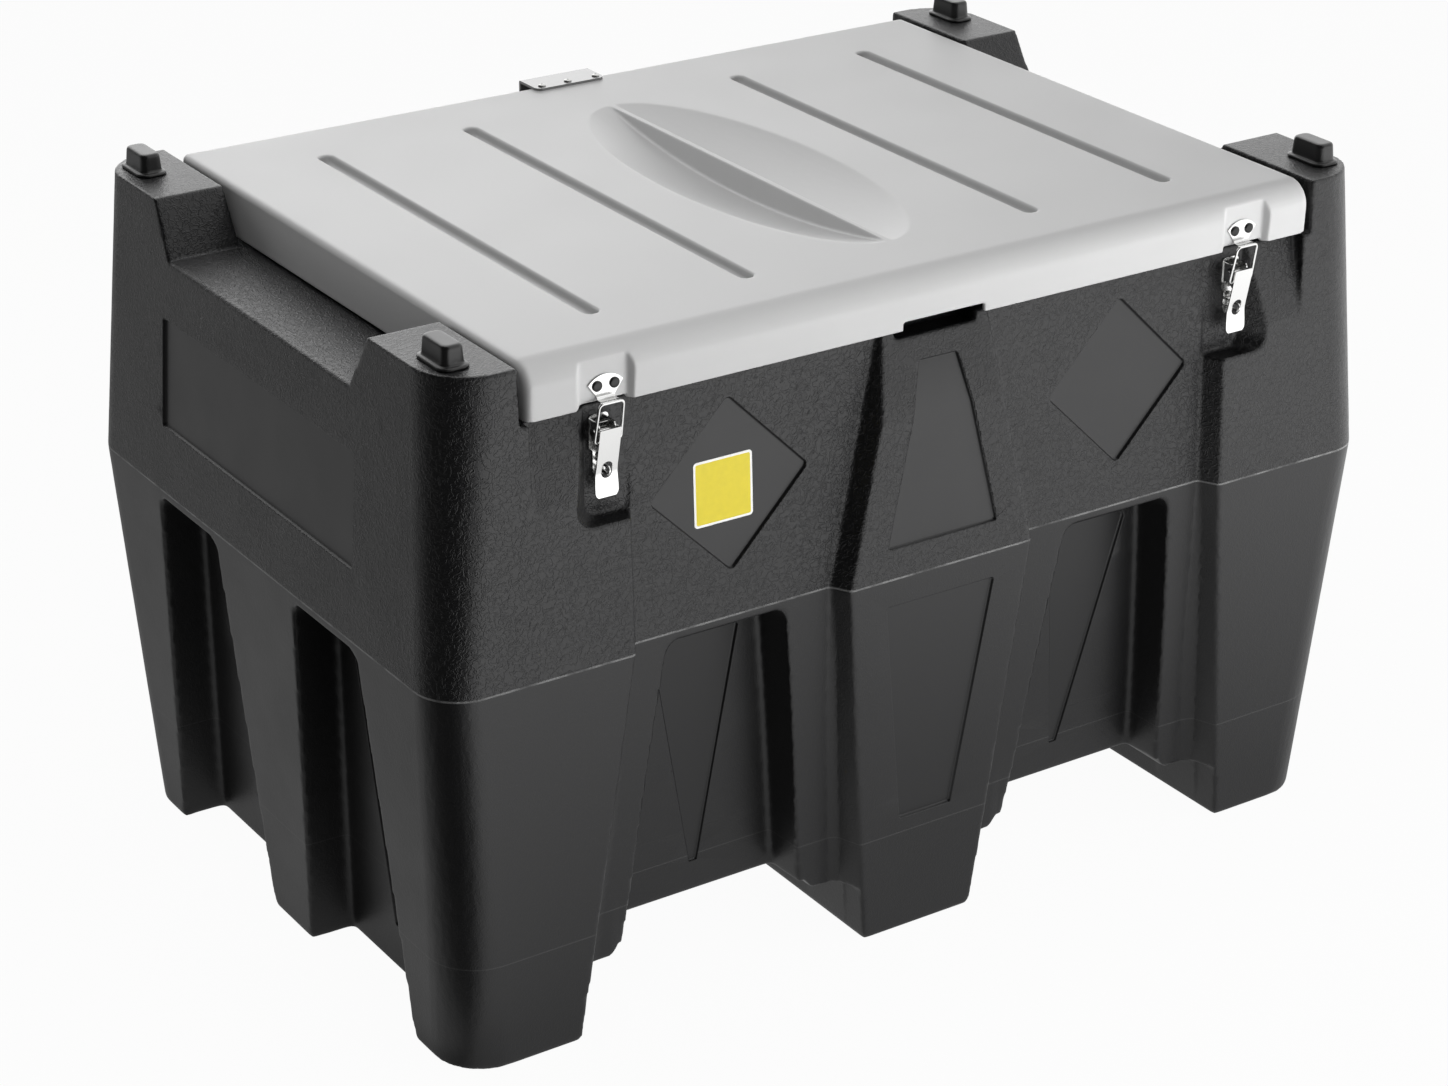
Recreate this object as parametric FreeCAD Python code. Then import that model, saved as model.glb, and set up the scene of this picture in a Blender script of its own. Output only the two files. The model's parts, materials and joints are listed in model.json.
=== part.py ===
import FreeCAD, Part
import math
import os

# Portable diesel transfer tank for a truck bed, all sizes in millimetres.
# A rotomoulded tank shell stands on three skids, with two fork channels between them.
# A hinged lid closes the equipment well in its top, held by two toggle latches.
# X is along the length, -Y is the latch side, Z is up, and the origin is under the centre.

V = FreeCAD.Vector
os.makedirs("parts", exist_ok=True)

# Driving sizes of the tank shell
LENGTH = 1200.0
WIDTH = 800.0
WAIST_Z = 445.0
POST_Z = 770.0
RIM_Z = POST_Z - 59.0
BASE_LENGTH = LENGTH - 48.0
BASE_WIDTH = WIDTH - 50.0
TOP_LENGTH = LENGTH - 46.0
TOP_WIDTH = WIDTH - 30.0
CORNER_BASE = 59.0
CORNER_WAIST = 50.0
CORNER_TOP = 60.0
WALL = 6.0

# Share by which the moulded forms spread when the length or width changes
SPREAD_X = LENGTH / 1200.0
SPREAD_Y = WIDTH / 800.0

# Corner posts and centre column on the long sides, half widths at three levels
POST_EDGE_WAIST = 379.0 * SPREAD_X
POST_EDGE_BASE = 431.5 * SPREAD_X
COLUMN_WAIST = 116.6 * SPREAD_X
COLUMN_BASE = 72.0 * SPREAD_X
COLUMN_TOP = 57.0 * SPREAD_X
PANEL_DEPTH = 22.0
PANEL_DRAFT = 12.5
RIB_SETBACK_BASE = 37.0

# Fork channels and the tapered recesses above them
CHANNEL_Z = 67.0
CHANNEL_DRAFT = 7.0
RECESS_DEPTH = 50.0
RECESS_DRAFT = 4.0
RECESS_TOP_Z = WAIST_Z - 8.0
RECESS_CORNER = 15.0
LONG_RECESS_TOP = (181.0 * SPREAD_X, 328.0 * SPREAD_X)
LONG_RECESS_BASE = (119.0 * SPREAD_X, 388.0 * SPREAD_X)
SHORT_RECESS_TOP = (88.0 * SPREAD_Y, 229.0 * SPREAD_Y)
SHORT_RECESS_BASE = (42.0 * SPREAD_Y, 279.0 * SPREAD_Y)

# Shelves between the posts on the short sides
SHELF_HALF = 203.0 * SPREAD_Y
SHELF_HALF_TOP = SHELF_HALF + 34.0
POST_INNER_X = TOP_LENGTH / 2 - 80.0

# Latch side: setback under the lid, latch pockets and the finger slot
SETBACK = 16.0
SETBACK_START_Z = RIM_Z - 91.0
SETBACK_HALF = POST_INNER_X - 10.0
LATCH_X = 400.0 * SPREAD_X
POCKET_BOTTOM_Z = RIM_Z - 120.0
POCKET_FLOOR_Y = 32.0 - WIDTH / 2
POCKET_EDGE = LATCH_X + 40.0
POCKET_FLOOR_EDGE = LATCH_X + 16.0
POCKET_CORNER = 18.0
SLOT_HALF = 51.0
SLOT_BOTTOM_Z = RIM_Z - 11.0
SLOT_BACK_Y = 54.0 - WIDTH / 2

# Smooth fields sunk in the skin
FIELD_DEPTH = 2.5
FIELD_DRAFT = 1.0
DIAMOND_CENTRE = (249.0 * SPREAD_X, (WAIST_Z + RIM_Z) / 2 + 10.0)
DIAMOND_HALF = (95.0 * SPREAD_X, (RIM_Z - WAIST_Z) / 2 - 39.0)
DIAMOND_CORNER = 6.0

# Equipment well under the lid, and the rim around it
WELL_HALF_X = POST_INNER_X - 57.0
WELL_FRONT_Y = 82.0 - WIDTH / 2
WELL_REAR_Y = WIDTH / 2 - 100.0
WELL_FLOOR_Z = RIM_Z - 151.0
WELL_CORNER = 50.0
RIM_WIDTH = 17.0
RIM_TOP_Z = RIM_Z + 43.0

# Lid
LID_HALF_X = POST_INNER_X - 7.0
LID_FRONT_Y = 10.0 - WIDTH / 2
LID_REAR_Y = WIDTH / 2 - 43.0
LID_TOP_Z = POST_Z + 1.0
LID_BOTTOM_Z = RIM_Z + 3.0
LID_WALL = 5.0
LID_SHOULDER = 28.0
LID_EDGE = 7.0
LID_FRONT_TUCK = 2.0
GROOVE_X = [x * SPREAD_X for x in (-362.0, -180.0, 180.0, 362.0)]
GROOVE_WIDTH = 17.0
GROOVE_DEPTH = 8.0
GROOVE_FRONT_Y = LID_FRONT_Y + 88.0
GROOVE_REAR_Y = LID_REAR_Y - 91.0
DISH_HALF_X = 104.0 * SPREAD_X
DISH_FRONT_Y = LID_FRONT_Y + 98.0
DISH_REAR_Y = LID_REAR_Y - 107.0
DISH_DEPTH = 26.0
DISH_ROUNDNESS = 0.8
KEEL_HALF = 7.0
KEEL_DRAFT = 6.0
NOTCH_INNER = LATCH_X - 31.0
NOTCH_OUTER = LATCH_X + 36.0
NOTCH_DRAFT = 7.0
NOTCH_DEPTH = 8.0
NOTCH_BOTTOM_Z = LID_BOTTOM_Z + 3.0
LID_SLOT_TOP_Z = LID_BOTTOM_Z + 9.0
SEAL_WIDTH = 10.0
SEAL_GAP = 0.3

# Stacking buffers on the post tops
BUFFER_X = TOP_LENGTH / 2 - 31.0
BUFFER_Y = TOP_WIDTH / 2 - 55.0
BUFFER_LENGTH = 50.0
BUFFER_WIDTH = 26.0
BUFFER_HEIGHT = 24.0
BUFFER_FLANGE = 4.0
BUFFER_FLANGE_HEIGHT = 4.0

# Lid hinge
HINGE_Y = LID_REAR_Y + 22.0
HINGE_Z = RIM_Z + 12.0
HINGE_LENGTH = 92.0
HINGE_SHEET = 3.0
HINGE_FRONT_Y = LID_REAR_Y - 19.0
HINGE_PIN_R = 3.0
HINGE_KNUCKLE_R = 6.5
HINGE_MIDDLE = 30.0
HINGE_END_GAP = 0.5
PIN_CLEARANCE = 0.05
HINGE_SCREWS_X = (-35.0, 0.0, 38.0)

# Toggle latches, one each side of the centre
LATCH_PIVOT_Y = POCKET_FLOOR_Y - 12.0
LATCH_PIVOT_Z = RIM_Z - 27.0
LATCH_PIVOT_R = 2.5
LATCH_BASE_WIDTH = 22.0
LATCH_TONGUE_WIDTH = 14.0
LATCH_TONGUE_Z = LATCH_PIVOT_Z - 20.0
LATCH_BASE_BOTTOM_Z = LATCH_PIVOT_Z - 50.0
LATCH_BASE_TOP_Z = LATCH_PIVOT_Z + 14.0
LATCH_SHEET = 1.5
LEVER_WIDTH = 24.0
LEVER_END_WIDTH = 26.0
LEVER_FACE_Y = LATCH_PIVOT_Y - 13.0
LEVER_TOP_Z = LATCH_PIVOT_Z + 6.0
LEVER_END_Z = LATCH_PIVOT_Z - 68.0
LEVER_BEND_Z = LATCH_PIVOT_Z - 44.0
LEVER_SLANT = 10.0
LEVER_TIP_Y = LEVER_FACE_Y + LEVER_SLANT - 1.5
LEVER_SLOT = (12.0, 18.0)
STAPLE_Z = LATCH_PIVOT_Z - 39.5
STAPLE_REACH = 6.2
STAPLE_WIRE_R = 1.75
STAPLE_HALF = 3.7
BAIL_WIRE_R = 1.5
BAIL_HOLE_Y = LATCH_PIVOT_Y - 6.0
BAIL_HOLE_Z = LATCH_PIVOT_Z - 9.0
BAIL_TOP_Y = LATCH_PIVOT_Y - 14.5
BAIL_TOP_Z = LATCH_PIVOT_Z + 34.0
BAIL_TOP_HALF = 13.5
BAIL_END_HALF = 15.0
KEEPER_WIDTH = 39.0
KEEPER_NECK = 20.5
KEEPER_TOP_Z = LATCH_PIVOT_Z + 60.0
KEEPER_LIP_Z = LATCH_PIVOT_Z + 33.5
KEEPER_SHEET = 1.6
KEEPER_LIP_OUT = 9.0
KEEPER_BEND_R = 4.5
KEEPER_RIVET_HALF = 9.7
KEEPER_RIVET_Z = LATCH_PIVOT_Z + 49.0
EAR_OUTER = 9.8
PIVOT_HEAD_R = 4.5
PIVOT_HEAD_GAP = 0.2
BAIL_CLEARANCE = 0.1
LATCH_RIVETS_Z = (LATCH_PIVOT_Z - 29.0, LATCH_PIVOT_Z - 16.0)
LATCH_RIVET_HEAD_R = 4.0
RIVET_R = 5.5
RIVET_HEIGHT = 2.2
RIVET_SHANK_R = 2.4

# Screws and bolts
SCREW_R = 2.0
SCREW_GAP = 0.1
SCREW_HEAD_R = 4.5
SCREW_HEAD_H = 2.5
BOLT_R = 3.0
BOLT_HEAD_R = 6.5
BOLT_HEAD_H = 4.5
HOLE_END = 1.0
HOLE_SPARE = 0.5
HINGE_SCREW_Y = LID_REAR_Y - 10.5
BODY_SCREW_Y = LID_REAR_Y + 9.0
BODY_SCREW_HEAD_R = 4.0
BODY_LEAF_Y = (LID_REAR_Y + 3.5, LID_REAR_Y + 28.5)

# Filler
FILLER_X = 230.0 * SPREAD_X
FILLER_Y = -40.0
FILLER_NECK_R = 59.0
FILLER_BORE_R = 52.0
FILLER_NECK_TOP = 40.0
FILLER_FLANGE_R = 82.0
FILLER_FLANGE_T = 8.0
FILLER_CAP_R = 68.0
FILLER_CAP_HEIGHT = 32.0
FILLER_CAP_GAP = 0.8
FILLER_GASKET_T = 2.5
FILLER_PCD_R = 72.0
FILLER_CAP_TOP = 5.0
CAP_SEAT_GAP = 0.1
FLOOR_HOLE_GAP = 1.0

# Vent, gauge, holder
VENT_X = 95.0 * SPREAD_X
VENT_Y = WELL_REAR_Y - 130.0
GAUGE_X = 40.0 * SPREAD_X
GAUGE_Y = -60.0
GAUGE_R = 44.0
GAUGE_FLANGE_T = 6.0
GAUGE_BODY_HEIGHT = 22.0
GAUGE_STEM_R = 16.0
GAUGE_PIVOT_Z = WELL_FLOOR_Z - 270.0
FLOAT_ARM = 270.0
FLOAT_ARM_REST = 60.0
FLOAT_R = 22.0
FLOAT_PIN_R = 2.0
FORK_HALF = 6.0
FORK_HEIGHT = 40.0
GAUGE_DIAL_R = 30.0
GAUGE_RECESS = 8.0
GAUGE_PCD_R = 39.0
VENT_STEM_R = 9.0
HOLDER_X = WELL_HALF_X - 110.0
HOLDER_Y = WELL_REAR_Y - 100.0
HOLDER_R = 24.0
HOLDER_BORE_R = 20.0
HOLDER_HEIGHT = 110.0
HOLDER_FOOT_R = 40.0
HOLDER_PCD_R = 32.0
HOLDER_FOOT_T = 5.0

# Pump
PUMP_X = -230.0 * SPREAD_X
PUMP_Y = -40.0
PUMP_AXIS_Z = WELL_FLOOR_Z + 95.0
PUMP_HEAD_R = 48.0
PUMP_HEAD_LENGTH = 46.0
PUMP_COVER_T = 12.0
MOTOR_R = 40.0
MOTOR_LENGTH = 130.0
MOTOR_CAP_T = 16.0
PIPE_R = 17.0
PIPE_BORE_R = 14.0
PIPE_END_Z = CHANNEL_Z + 51.0
SUCTION_FLANGE_R = 46.0
SUCTION_FLANGE_T = 8.0
SUCTION_PCD_R = 35.0
STRAINER_R = 26.0
BRACKET_X = 70.0
BRACKET_Y = 84.0
BRACKET_T = 5.0
BRACKET_EAR_Y = 58.0
SPIGOT_R = 11.0
SWITCH_BOX_X = 30.0
SWITCH_BOX_Y = 28.0
SWITCH_BOX_TOP = PUMP_AXIS_Z + 72.0
ROCKER_X = 11.0
ROCKER_Y = 7.0
ROCKER_GAP = 1.2
ROCKER_TILT = 8.0
ROCKER_PIVOT_Z = SWITCH_BOX_TOP - 3.0
GLAND_THREAD_R = 6.0
GLAND_Z = SWITCH_BOX_TOP - 16.0


def slope(z, z_low, value_low, z_high, value_high):
    """Value on the straight line between two levels."""
    return value_low + (value_high - value_low) * (z - z_low) / (z_high - z_low)


def front_skin_y(z):
    """Outer plane of the latch side at a height."""
    if z < WAIST_Z:
        return -slope(z, 0.0, BASE_WIDTH / 2, WAIST_Z, WIDTH / 2)
    return -slope(z, WAIST_Z, WIDTH / 2, POST_Z, TOP_WIDTH / 2)


def side_skin_x(z):
    """Outer plane of the left short side at a height below the waist or above it."""
    if z < WAIST_Z:
        return -slope(z, 0.0, BASE_LENGTH / 2, WAIST_Z, LENGTH / 2)
    return -slope(z, WAIST_Z, LENGTH / 2, POST_Z, TOP_LENGTH / 2)


def offset_polygon(points, distance):
    """Convex polygon, counter-clockwise, moved outwards by a distance."""
    count = len(points)
    lines = []
    for i in range(count):
        (x1, y1), (x2, y2) = points[i], points[(i + 1) % count]
        size = math.hypot(x2 - x1, y2 - y1)
        nx, ny = (y2 - y1) / size, (x1 - x2) / size
        lines.append((nx, ny, nx * x1 + ny * y1 + distance))
    moved = []
    for i in range(count):
        a, b = lines[i - 1], lines[i]
        det = a[0] * b[1] - b[0] * a[1]
        moved.append(((a[2] * b[1] - b[2] * a[1]) / det, (a[0] * b[2] - b[0] * a[2]) / det))
    return moved


def rounded_wire(points, radii, place):
    """Closed wire through 2D points with rounded corners, put in space by a function."""
    count = len(points)
    edges = []
    starts, ends, middles = [], [], []
    for i in range(count):
        px, py = points[i]
        ax, ay = points[i - 1][0] - px, points[i - 1][1] - py
        bx, by = points[(i + 1) % count][0] - px, points[(i + 1) % count][1] - py
        la, lb = math.hypot(ax, ay), math.hypot(bx, by)
        ax, ay, bx, by = ax / la, ay / la, bx / lb, by / lb
        half = math.acos(max(-1.0, min(1.0, ax * bx + ay * by))) / 2
        reach = radii[i] / math.tan(half)
        cx, cy = ax + bx, ay + by
        size = math.hypot(cx, cy)
        far = radii[i] / math.sin(half)
        starts.append((px + ax * reach, py + ay * reach))
        ends.append((px + bx * reach, py + by * reach))
        middles.append((px + cx / size * (far - radii[i]), py + cy / size * (far - radii[i])))
    for i in range(count):
        if radii[i] > 0:
            edges.append(Part.Arc(place(*starts[i]), place(*middles[i]), place(*ends[i])).toShape())
        following = (i + 1) % count
        edges.append(Part.LineSegment(place(*ends[i]), place(*starts[following])).toShape())
    return Part.Wire(edges)


def loft(*wires):
    """Ruled solid through closed wires."""
    return Part.makeLoft(list(wires), True, True)


def slab(x1, x2, y1, y2, z1, z2):
    """Box between two corners."""
    return Part.makeBox(x2 - x1, y2 - y1, z2 - z1, V(x1, y1, z1))


def rod(radius, start, end):
    """Cylinder between two points."""
    axis = V(*end) - V(*start)
    return Part.makeCylinder(radius, axis.Length, V(*start), axis)


def tube(outer, inner, start, end):
    """Hollow cylinder between two points."""
    return rod(outer, start, end).cut(rod(inner, start, end))


def prism(points, place, direction):
    """Straight prism from 2D points put in space by a function."""
    corners = [place(*p) for p in points]
    return Part.Face(Part.makePolygon(corners + corners[:1])).extrude(direction)


def mirror_x(shape):
    """Copy mirrored from the left half to the right half."""
    return shape.mirror(V(0, 0, 0), V(1, 0, 0))


def mirror_y(shape):
    """Copy mirrored from the latch side to the hinge side."""
    return shape.mirror(V(0, 0, 0), V(0, 1, 0))


def four_way(shape):
    """The shape and its mirror copies about both centre planes."""
    pair = [shape, mirror_x(shape)]
    return pair + [mirror_y(s) for s in pair]


def circle_places(count, radius, x, y, phase=0.0):
    """Equal steps on a circle, as x and y."""
    turns = [phase + 2 * math.pi * i / count for i in range(count)]
    return [(x + radius * math.cos(t), y + radius * math.sin(t)) for t in turns]


def upright_holes(places, radius, z_low, z_high):
    """Vertical drilling tools at a list of places."""
    return [rod(radius, (x, y, z_low), (x, y, z_high)) for x, y in places]


def save(name, shape):
    """Write one node's solids as a STEP file."""
    if isinstance(shape, list):
        shape = Part.makeCompound(shape)
    shape.exportStep("parts/" + name + ".step")
    print(name, "solids", len(shape.Solids), "valid", shape.isValid(), round(shape.Volume / 1000.0, 1))


# Tank shell

def outline(half_x, half_y, radius, z):
    """Rounded rectangle at one level."""
    points = [(-half_x, -half_y), (half_x, -half_y), (half_x, half_y), (-half_x, half_y)]
    return rounded_wire(points, [radius] * 4, lambda x, y: V(x, y, z))


def block(inset):
    """Waisted block of the tank, smaller by an inset all round."""
    levels = [
        (0.0, BASE_LENGTH, BASE_WIDTH, CORNER_BASE),
        (WAIST_Z, LENGTH, WIDTH, CORNER_WAIST),
        (POST_Z, TOP_LENGTH, TOP_WIDTH, CORNER_TOP),
    ]
    wires = [outline(length / 2 - inset, width / 2 - inset, corner - inset, z)
             for z, length, width, corner in levels]
    lower = loft(wires[0], wires[1])
    upper = loft(wires[1], wires[2])
    body = lower.fuse(upper)
    if inset:
        body = body.cut(slab(-LENGTH, LENGTH, -WIDTH, WIDTH, -1.0, inset))
        body = body.cut(slab(-LENGTH, LENGTH, -WIDTH, WIDTH, POST_Z - inset, POST_Z + 1.0))
    return body


def drafted(points, radii, draft, floor, normal_step, grow):
    """Recess tool: from a floor outline out through the skin, widening by the draft."""
    inner = offset_polygon(points, grow)
    outer = offset_polygon(points, grow + draft)
    inner_radii = [r + grow if r else 0.0 for r in radii]
    outer_radii = [r + grow + draft if r else 0.0 for r in radii]
    near = rounded_wire(inner, inner_radii, lambda u, v: floor(u, v, grow))
    far = rounded_wire(outer, outer_radii, lambda u, v: floor(u, v, -normal_step))
    return loft(near, far)


def long_panel(grow):
    """Panel above the waist between a corner post and the column, left of the centre."""
    top = POST_Z + 20.0
    column_top = slope(top, WAIST_Z, COLUMN_WAIST, RIM_Z, COLUMN_TOP)
    surface = [(-POST_EDGE_WAIST, WAIST_Z), (-COLUMN_WAIST, WAIST_Z), (-column_top, top),
               (-POST_EDGE_WAIST, top)]
    return side_strip(surface, front_skin_y, PANEL_DEPTH, PANEL_DEPTH, grow)


def long_rib_face(grow):
    """Set-back face below the waist between a post and the column, down to the floor."""
    low = -20.0
    post_low = slope(low, 0.0, POST_EDGE_BASE, WAIST_Z, POST_EDGE_WAIST)
    column_low = slope(low, 0.0, COLUMN_BASE, WAIST_Z, COLUMN_WAIST)
    surface = [(-post_low, low), (-column_low, low), (-COLUMN_WAIST, WAIST_Z), (-POST_EDGE_WAIST, WAIST_Z)]
    return side_strip(surface, front_skin_y, RIB_SETBACK_BASE, PANEL_DEPTH, grow)


def side_strip(surface, skin, depth_low, depth_high, grow):
    """Recess whose side walls are drafted and whose level ends stay square."""
    low, high = surface[0][1], surface[3][1]
    depth = {low: depth_low, high: depth_high}
    wires = []
    for share in (1.0, -1.0):
        corners = []
        for index, (x, z) in enumerate(surface):
            inward = 1.0 if index in (0, 3) else -1.0
            side = x + inward * (PANEL_DRAFT * share) - inward * grow
            y = skin(z) + depth[z] * share + (grow if share > 0 else 0.0)
            corners.append(V(side, y, z))
        wires.append(Part.makePolygon(corners + corners[:1]))
    return loft(*wires)


def rib_plane_y(z):
    """Plane of the set-back face below the waist."""
    at_waist = front_skin_y(WAIST_Z) + PANEL_DEPTH
    at_base = front_skin_y(0.0) + RIB_SETBACK_BASE
    return slope(z, 0.0, at_base, WAIST_Z, at_waist)


def trapezoid(low_pair, high_pair, z_high):
    """Outline of a tapered recess, widening downwards, run on past the floor."""
    z_low = -20.0
    wide = [slope(z_low, 0.0, low_pair[i], z_high, high_pair[i]) for i in (0, 1)]
    return [(wide[0], z_low), (wide[1], z_low), (high_pair[1], z_high), (high_pair[0], z_high)]


def long_recess(grow):
    """Deep tapered recess below the waist on a long side, above the fork channel."""
    points = [(-x, z) for x, z in trapezoid(LONG_RECESS_BASE, LONG_RECESS_TOP, RECESS_TOP_Z)]
    points = [points[1], points[0], points[3], points[2]]
    points = offset_polygon(points, -RECESS_DRAFT)
    floor = lambda u, v, out: V(u, rib_plane_y(v) + RECESS_DEPTH + out, v)
    radii = [0.0, 0.0, RECESS_CORNER, RECESS_CORNER]
    return drafted(points, radii, RECESS_DRAFT, floor, RECESS_DEPTH + 60.0, grow)


def short_recess(grow):
    """Deep tapered recess below the waist on the left short side, in the front half."""
    points = trapezoid(SHORT_RECESS_BASE, SHORT_RECESS_TOP, RECESS_TOP_Z)
    points = [(-y, z) for y, z in points]
    points = [points[1], points[0], points[3], points[2]]
    points = offset_polygon(points, -RECESS_DRAFT)
    floor = lambda u, v, out: V(side_skin_x(v) + RECESS_DEPTH + out, u, v)
    radii = [0.0, 0.0, RECESS_CORNER, RECESS_CORNER]
    return drafted(points, radii, RECESS_DRAFT, floor, RECESS_DEPTH + 60.0, grow)


def channel(grow):
    """Fork channel along Y under the tank, left of the centre."""
    low = -20.0
    spread = CHANNEL_DRAFT * (CHANNEL_Z - low) / CHANNEL_Z
    top_inner, top_outer = COLUMN_BASE + CHANNEL_DRAFT, POST_EDGE_BASE - CHANNEL_DRAFT
    points = [(-top_outer - spread, low), (-top_inner + spread, low), (-top_inner, CHANNEL_Z),
              (-top_outer, CHANNEL_Z)]
    points = offset_polygon(points, grow)
    return prism(points, lambda x, z: V(x, -WIDTH, z), V(0, 2 * WIDTH, 0))


def lid_bay(grow):
    """Space above the rim level between the posts, and over the side shelves."""
    bay = slab(-POST_INNER_X - grow, POST_INNER_X + grow, -WIDTH, WIDTH, RIM_Z - grow, POST_Z + 40.0)
    rise = (SHELF_HALF_TOP - SHELF_HALF) / (POST_Z - RIM_Z)
    top = POST_Z + 40.0
    half_top = SHELF_HALF + rise * (top - RIM_Z)
    points = [(-SHELF_HALF, RIM_Z), (SHELF_HALF, RIM_Z), (half_top, top), (-half_top, top)]
    points = offset_polygon(points, grow)
    shelf = prism(points, lambda y, z: V(-LENGTH, y, z), V(2 * LENGTH, 0, 0))
    return bay.fuse(shelf)


def setback(grow):
    """Wedge taken off the latch side under the lid's apron."""
    top = POST_Z + 40.0
    start = front_skin_y(SETBACK_START_Z)
    at_top = setback_y(top)
    points = [(-WIDTH, SETBACK_START_Z), (start + grow, SETBACK_START_Z), (at_top + grow, top),
              (-WIDTH, top)]
    half = SETBACK_HALF + grow
    return prism(points, lambda y, z: V(-half, y, z), V(2 * half, 0, 0))


def latch_pocket(grow):
    """Pocket in a corner post that the left latch stands in, open to the panel."""
    top = POST_Z + 40.0
    inner = -POST_EDGE_WAIST + PANEL_DRAFT + 1.0
    floor_y = POCKET_FLOOR_Y + grow
    floor = [(-POCKET_FLOOR_EDGE - grow, POCKET_BOTTOM_Z - grow), (inner, POCKET_BOTTOM_Z - grow),
             (inner, top), (-POCKET_FLOOR_EDGE - grow, top)]
    skin_y = front_skin_y(POCKET_BOTTOM_Z)
    reach = (POCKET_EDGE - POCKET_FLOOR_EDGE) / (POCKET_FLOOR_Y - skin_y)
    out_y = -WIDTH / 2 - 30.0
    edge = POCKET_FLOOR_EDGE + reach * (POCKET_FLOOR_Y - out_y) + grow
    mouth = [(-edge, POCKET_BOTTOM_Z - grow), (inner, POCKET_BOTTOM_Z - grow), (inner, top), (-edge, top)]
    radii = [POCKET_CORNER, 0.0, 0.0, 0.0]
    return loft(rounded_wire(floor, radii, lambda x, z: V(x, floor_y, z)),
                rounded_wire(mouth, radii, lambda x, z: V(x, out_y, z)))


def finger_slot(grow):
    """Slot across the top of the centre column for lifting the lid."""
    return slab(-SLOT_HALF - grow, SLOT_HALF + grow, -WIDTH, SLOT_BACK_Y + grow,
                SLOT_BOTTOM_Z - grow, POST_Z)


def well(grow):
    """Equipment well sunk in the top of the tank."""
    half = WELL_HALF_X + grow
    points = [(-half, WELL_FRONT_Y - grow), (half, WELL_FRONT_Y - grow), (half, WELL_REAR_Y + grow),
              (-half, WELL_REAR_Y + grow)]
    base = rounded_wire(points, [WELL_CORNER + grow] * 4, lambda x, y: V(x, y, WELL_FLOOR_Z - grow))
    return Part.Face(base).extrude(V(0, 0, POST_Z + 40.0 - WELL_FLOOR_Z))


def well_rim():
    """Upstand around the well that carries the lid."""
    half = WELL_HALF_X + RIM_WIDTH
    points = [(-half, WELL_FRONT_Y - RIM_WIDTH), (half, WELL_FRONT_Y - RIM_WIDTH),
              (half, WELL_REAR_Y + RIM_WIDTH), (-half, WELL_REAR_Y + RIM_WIDTH)]
    base = rounded_wire(points, [WELL_CORNER + RIM_WIDTH] * 4, lambda x, y: V(x, y, RIM_Z - WALL))
    return Part.Face(base).extrude(V(0, 0, RIM_TOP_Z - RIM_Z + WALL))


def sunk_field(points, radii, surface):
    """Tool for a shallow smooth field in a recessed or outer face, from its floor out past the skin."""
    near = rounded_wire(offset_polygon(points, -FIELD_DRAFT), radii, lambda u, v: surface(u, v, FIELD_DEPTH))
    far = rounded_wire(offset_polygon(points, FIELD_DRAFT), radii, lambda u, v: surface(u, v, -FIELD_DEPTH))
    return loft(near, far)


def front_fields():
    """Sunk fields left of the centre on the latch side: the diamond and the wedge in the deep recess."""
    cx, cz = DIAMOND_CENTRE
    hx, hz = DIAMOND_HALF
    panel = lambda x, z, inward: V(x, front_skin_y(z) + PANEL_DEPTH + inward, z)
    recess = lambda x, z, inward: V(x, rib_plane_y(z) + RECESS_DEPTH + inward, z)
    diamond = sunk_field([(-cx, cz - hz), (-cx + hx, cz), (-cx, cz + hz), (-cx - hx, cz)],
                         [DIAMOND_CORNER] * 4, panel)
    foot, low, top = 245.0 * SPREAD_X, CHANNEL_Z + 51.0, RECESS_TOP_Z - 33.0
    inner, outer = LONG_RECESS_TOP[0] + 25.0 * SPREAD_X, LONG_RECESS_TOP[1] - 16.0 * SPREAD_X
    wedge = sunk_field([(-foot - 5.0, low), (-foot + 5.0, low), (-inner, top), (-outer, top)],
                       [2.0, 2.0, 3.0, 8.0], recess)
    return [diamond, wedge]


def setback_y(z):
    """Plane of the latch side's setback under the lid's apron."""
    return slope(z, SETBACK_START_Z, front_skin_y(SETBACK_START_Z), RIM_Z, front_skin_y(RIM_Z) + SETBACK)


def column_fields():
    """Sunk fields on the centre column: above the waist, its part on the setback, and below the waist."""
    skin = lambda x, z, inward: V(x, front_skin_y(z) + inward, z)
    leaning = lambda x, z, inward: V(x, setback_y(z) + inward, z)
    wide, narrow, foot = 70.0 * SPREAD_X, 24.0 * SPREAD_X, 34.0 * SPREAD_X
    low, high = WAIST_Z + 34.0, RIM_Z - 37.0
    upper = sunk_field([(-wide, low), (wide, low), (narrow, high), (-narrow, high)], [3.0] * 4, skin)
    start = SETBACK_START_Z - 20.0
    half = slope(start, low, wide, high, narrow)
    upper_end = sunk_field([(-half, start), (half, start), (narrow, high), (-narrow, high)], [3.0] * 4, leaning)
    low, high = CHANNEL_Z + 78.0, WAIST_Z - 32.0
    lower = sunk_field([(-foot, low), (foot, low), (wide, high), (-wide, high)], [3.0] * 4, skin)
    return [upper, upper_end, lower]


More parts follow.
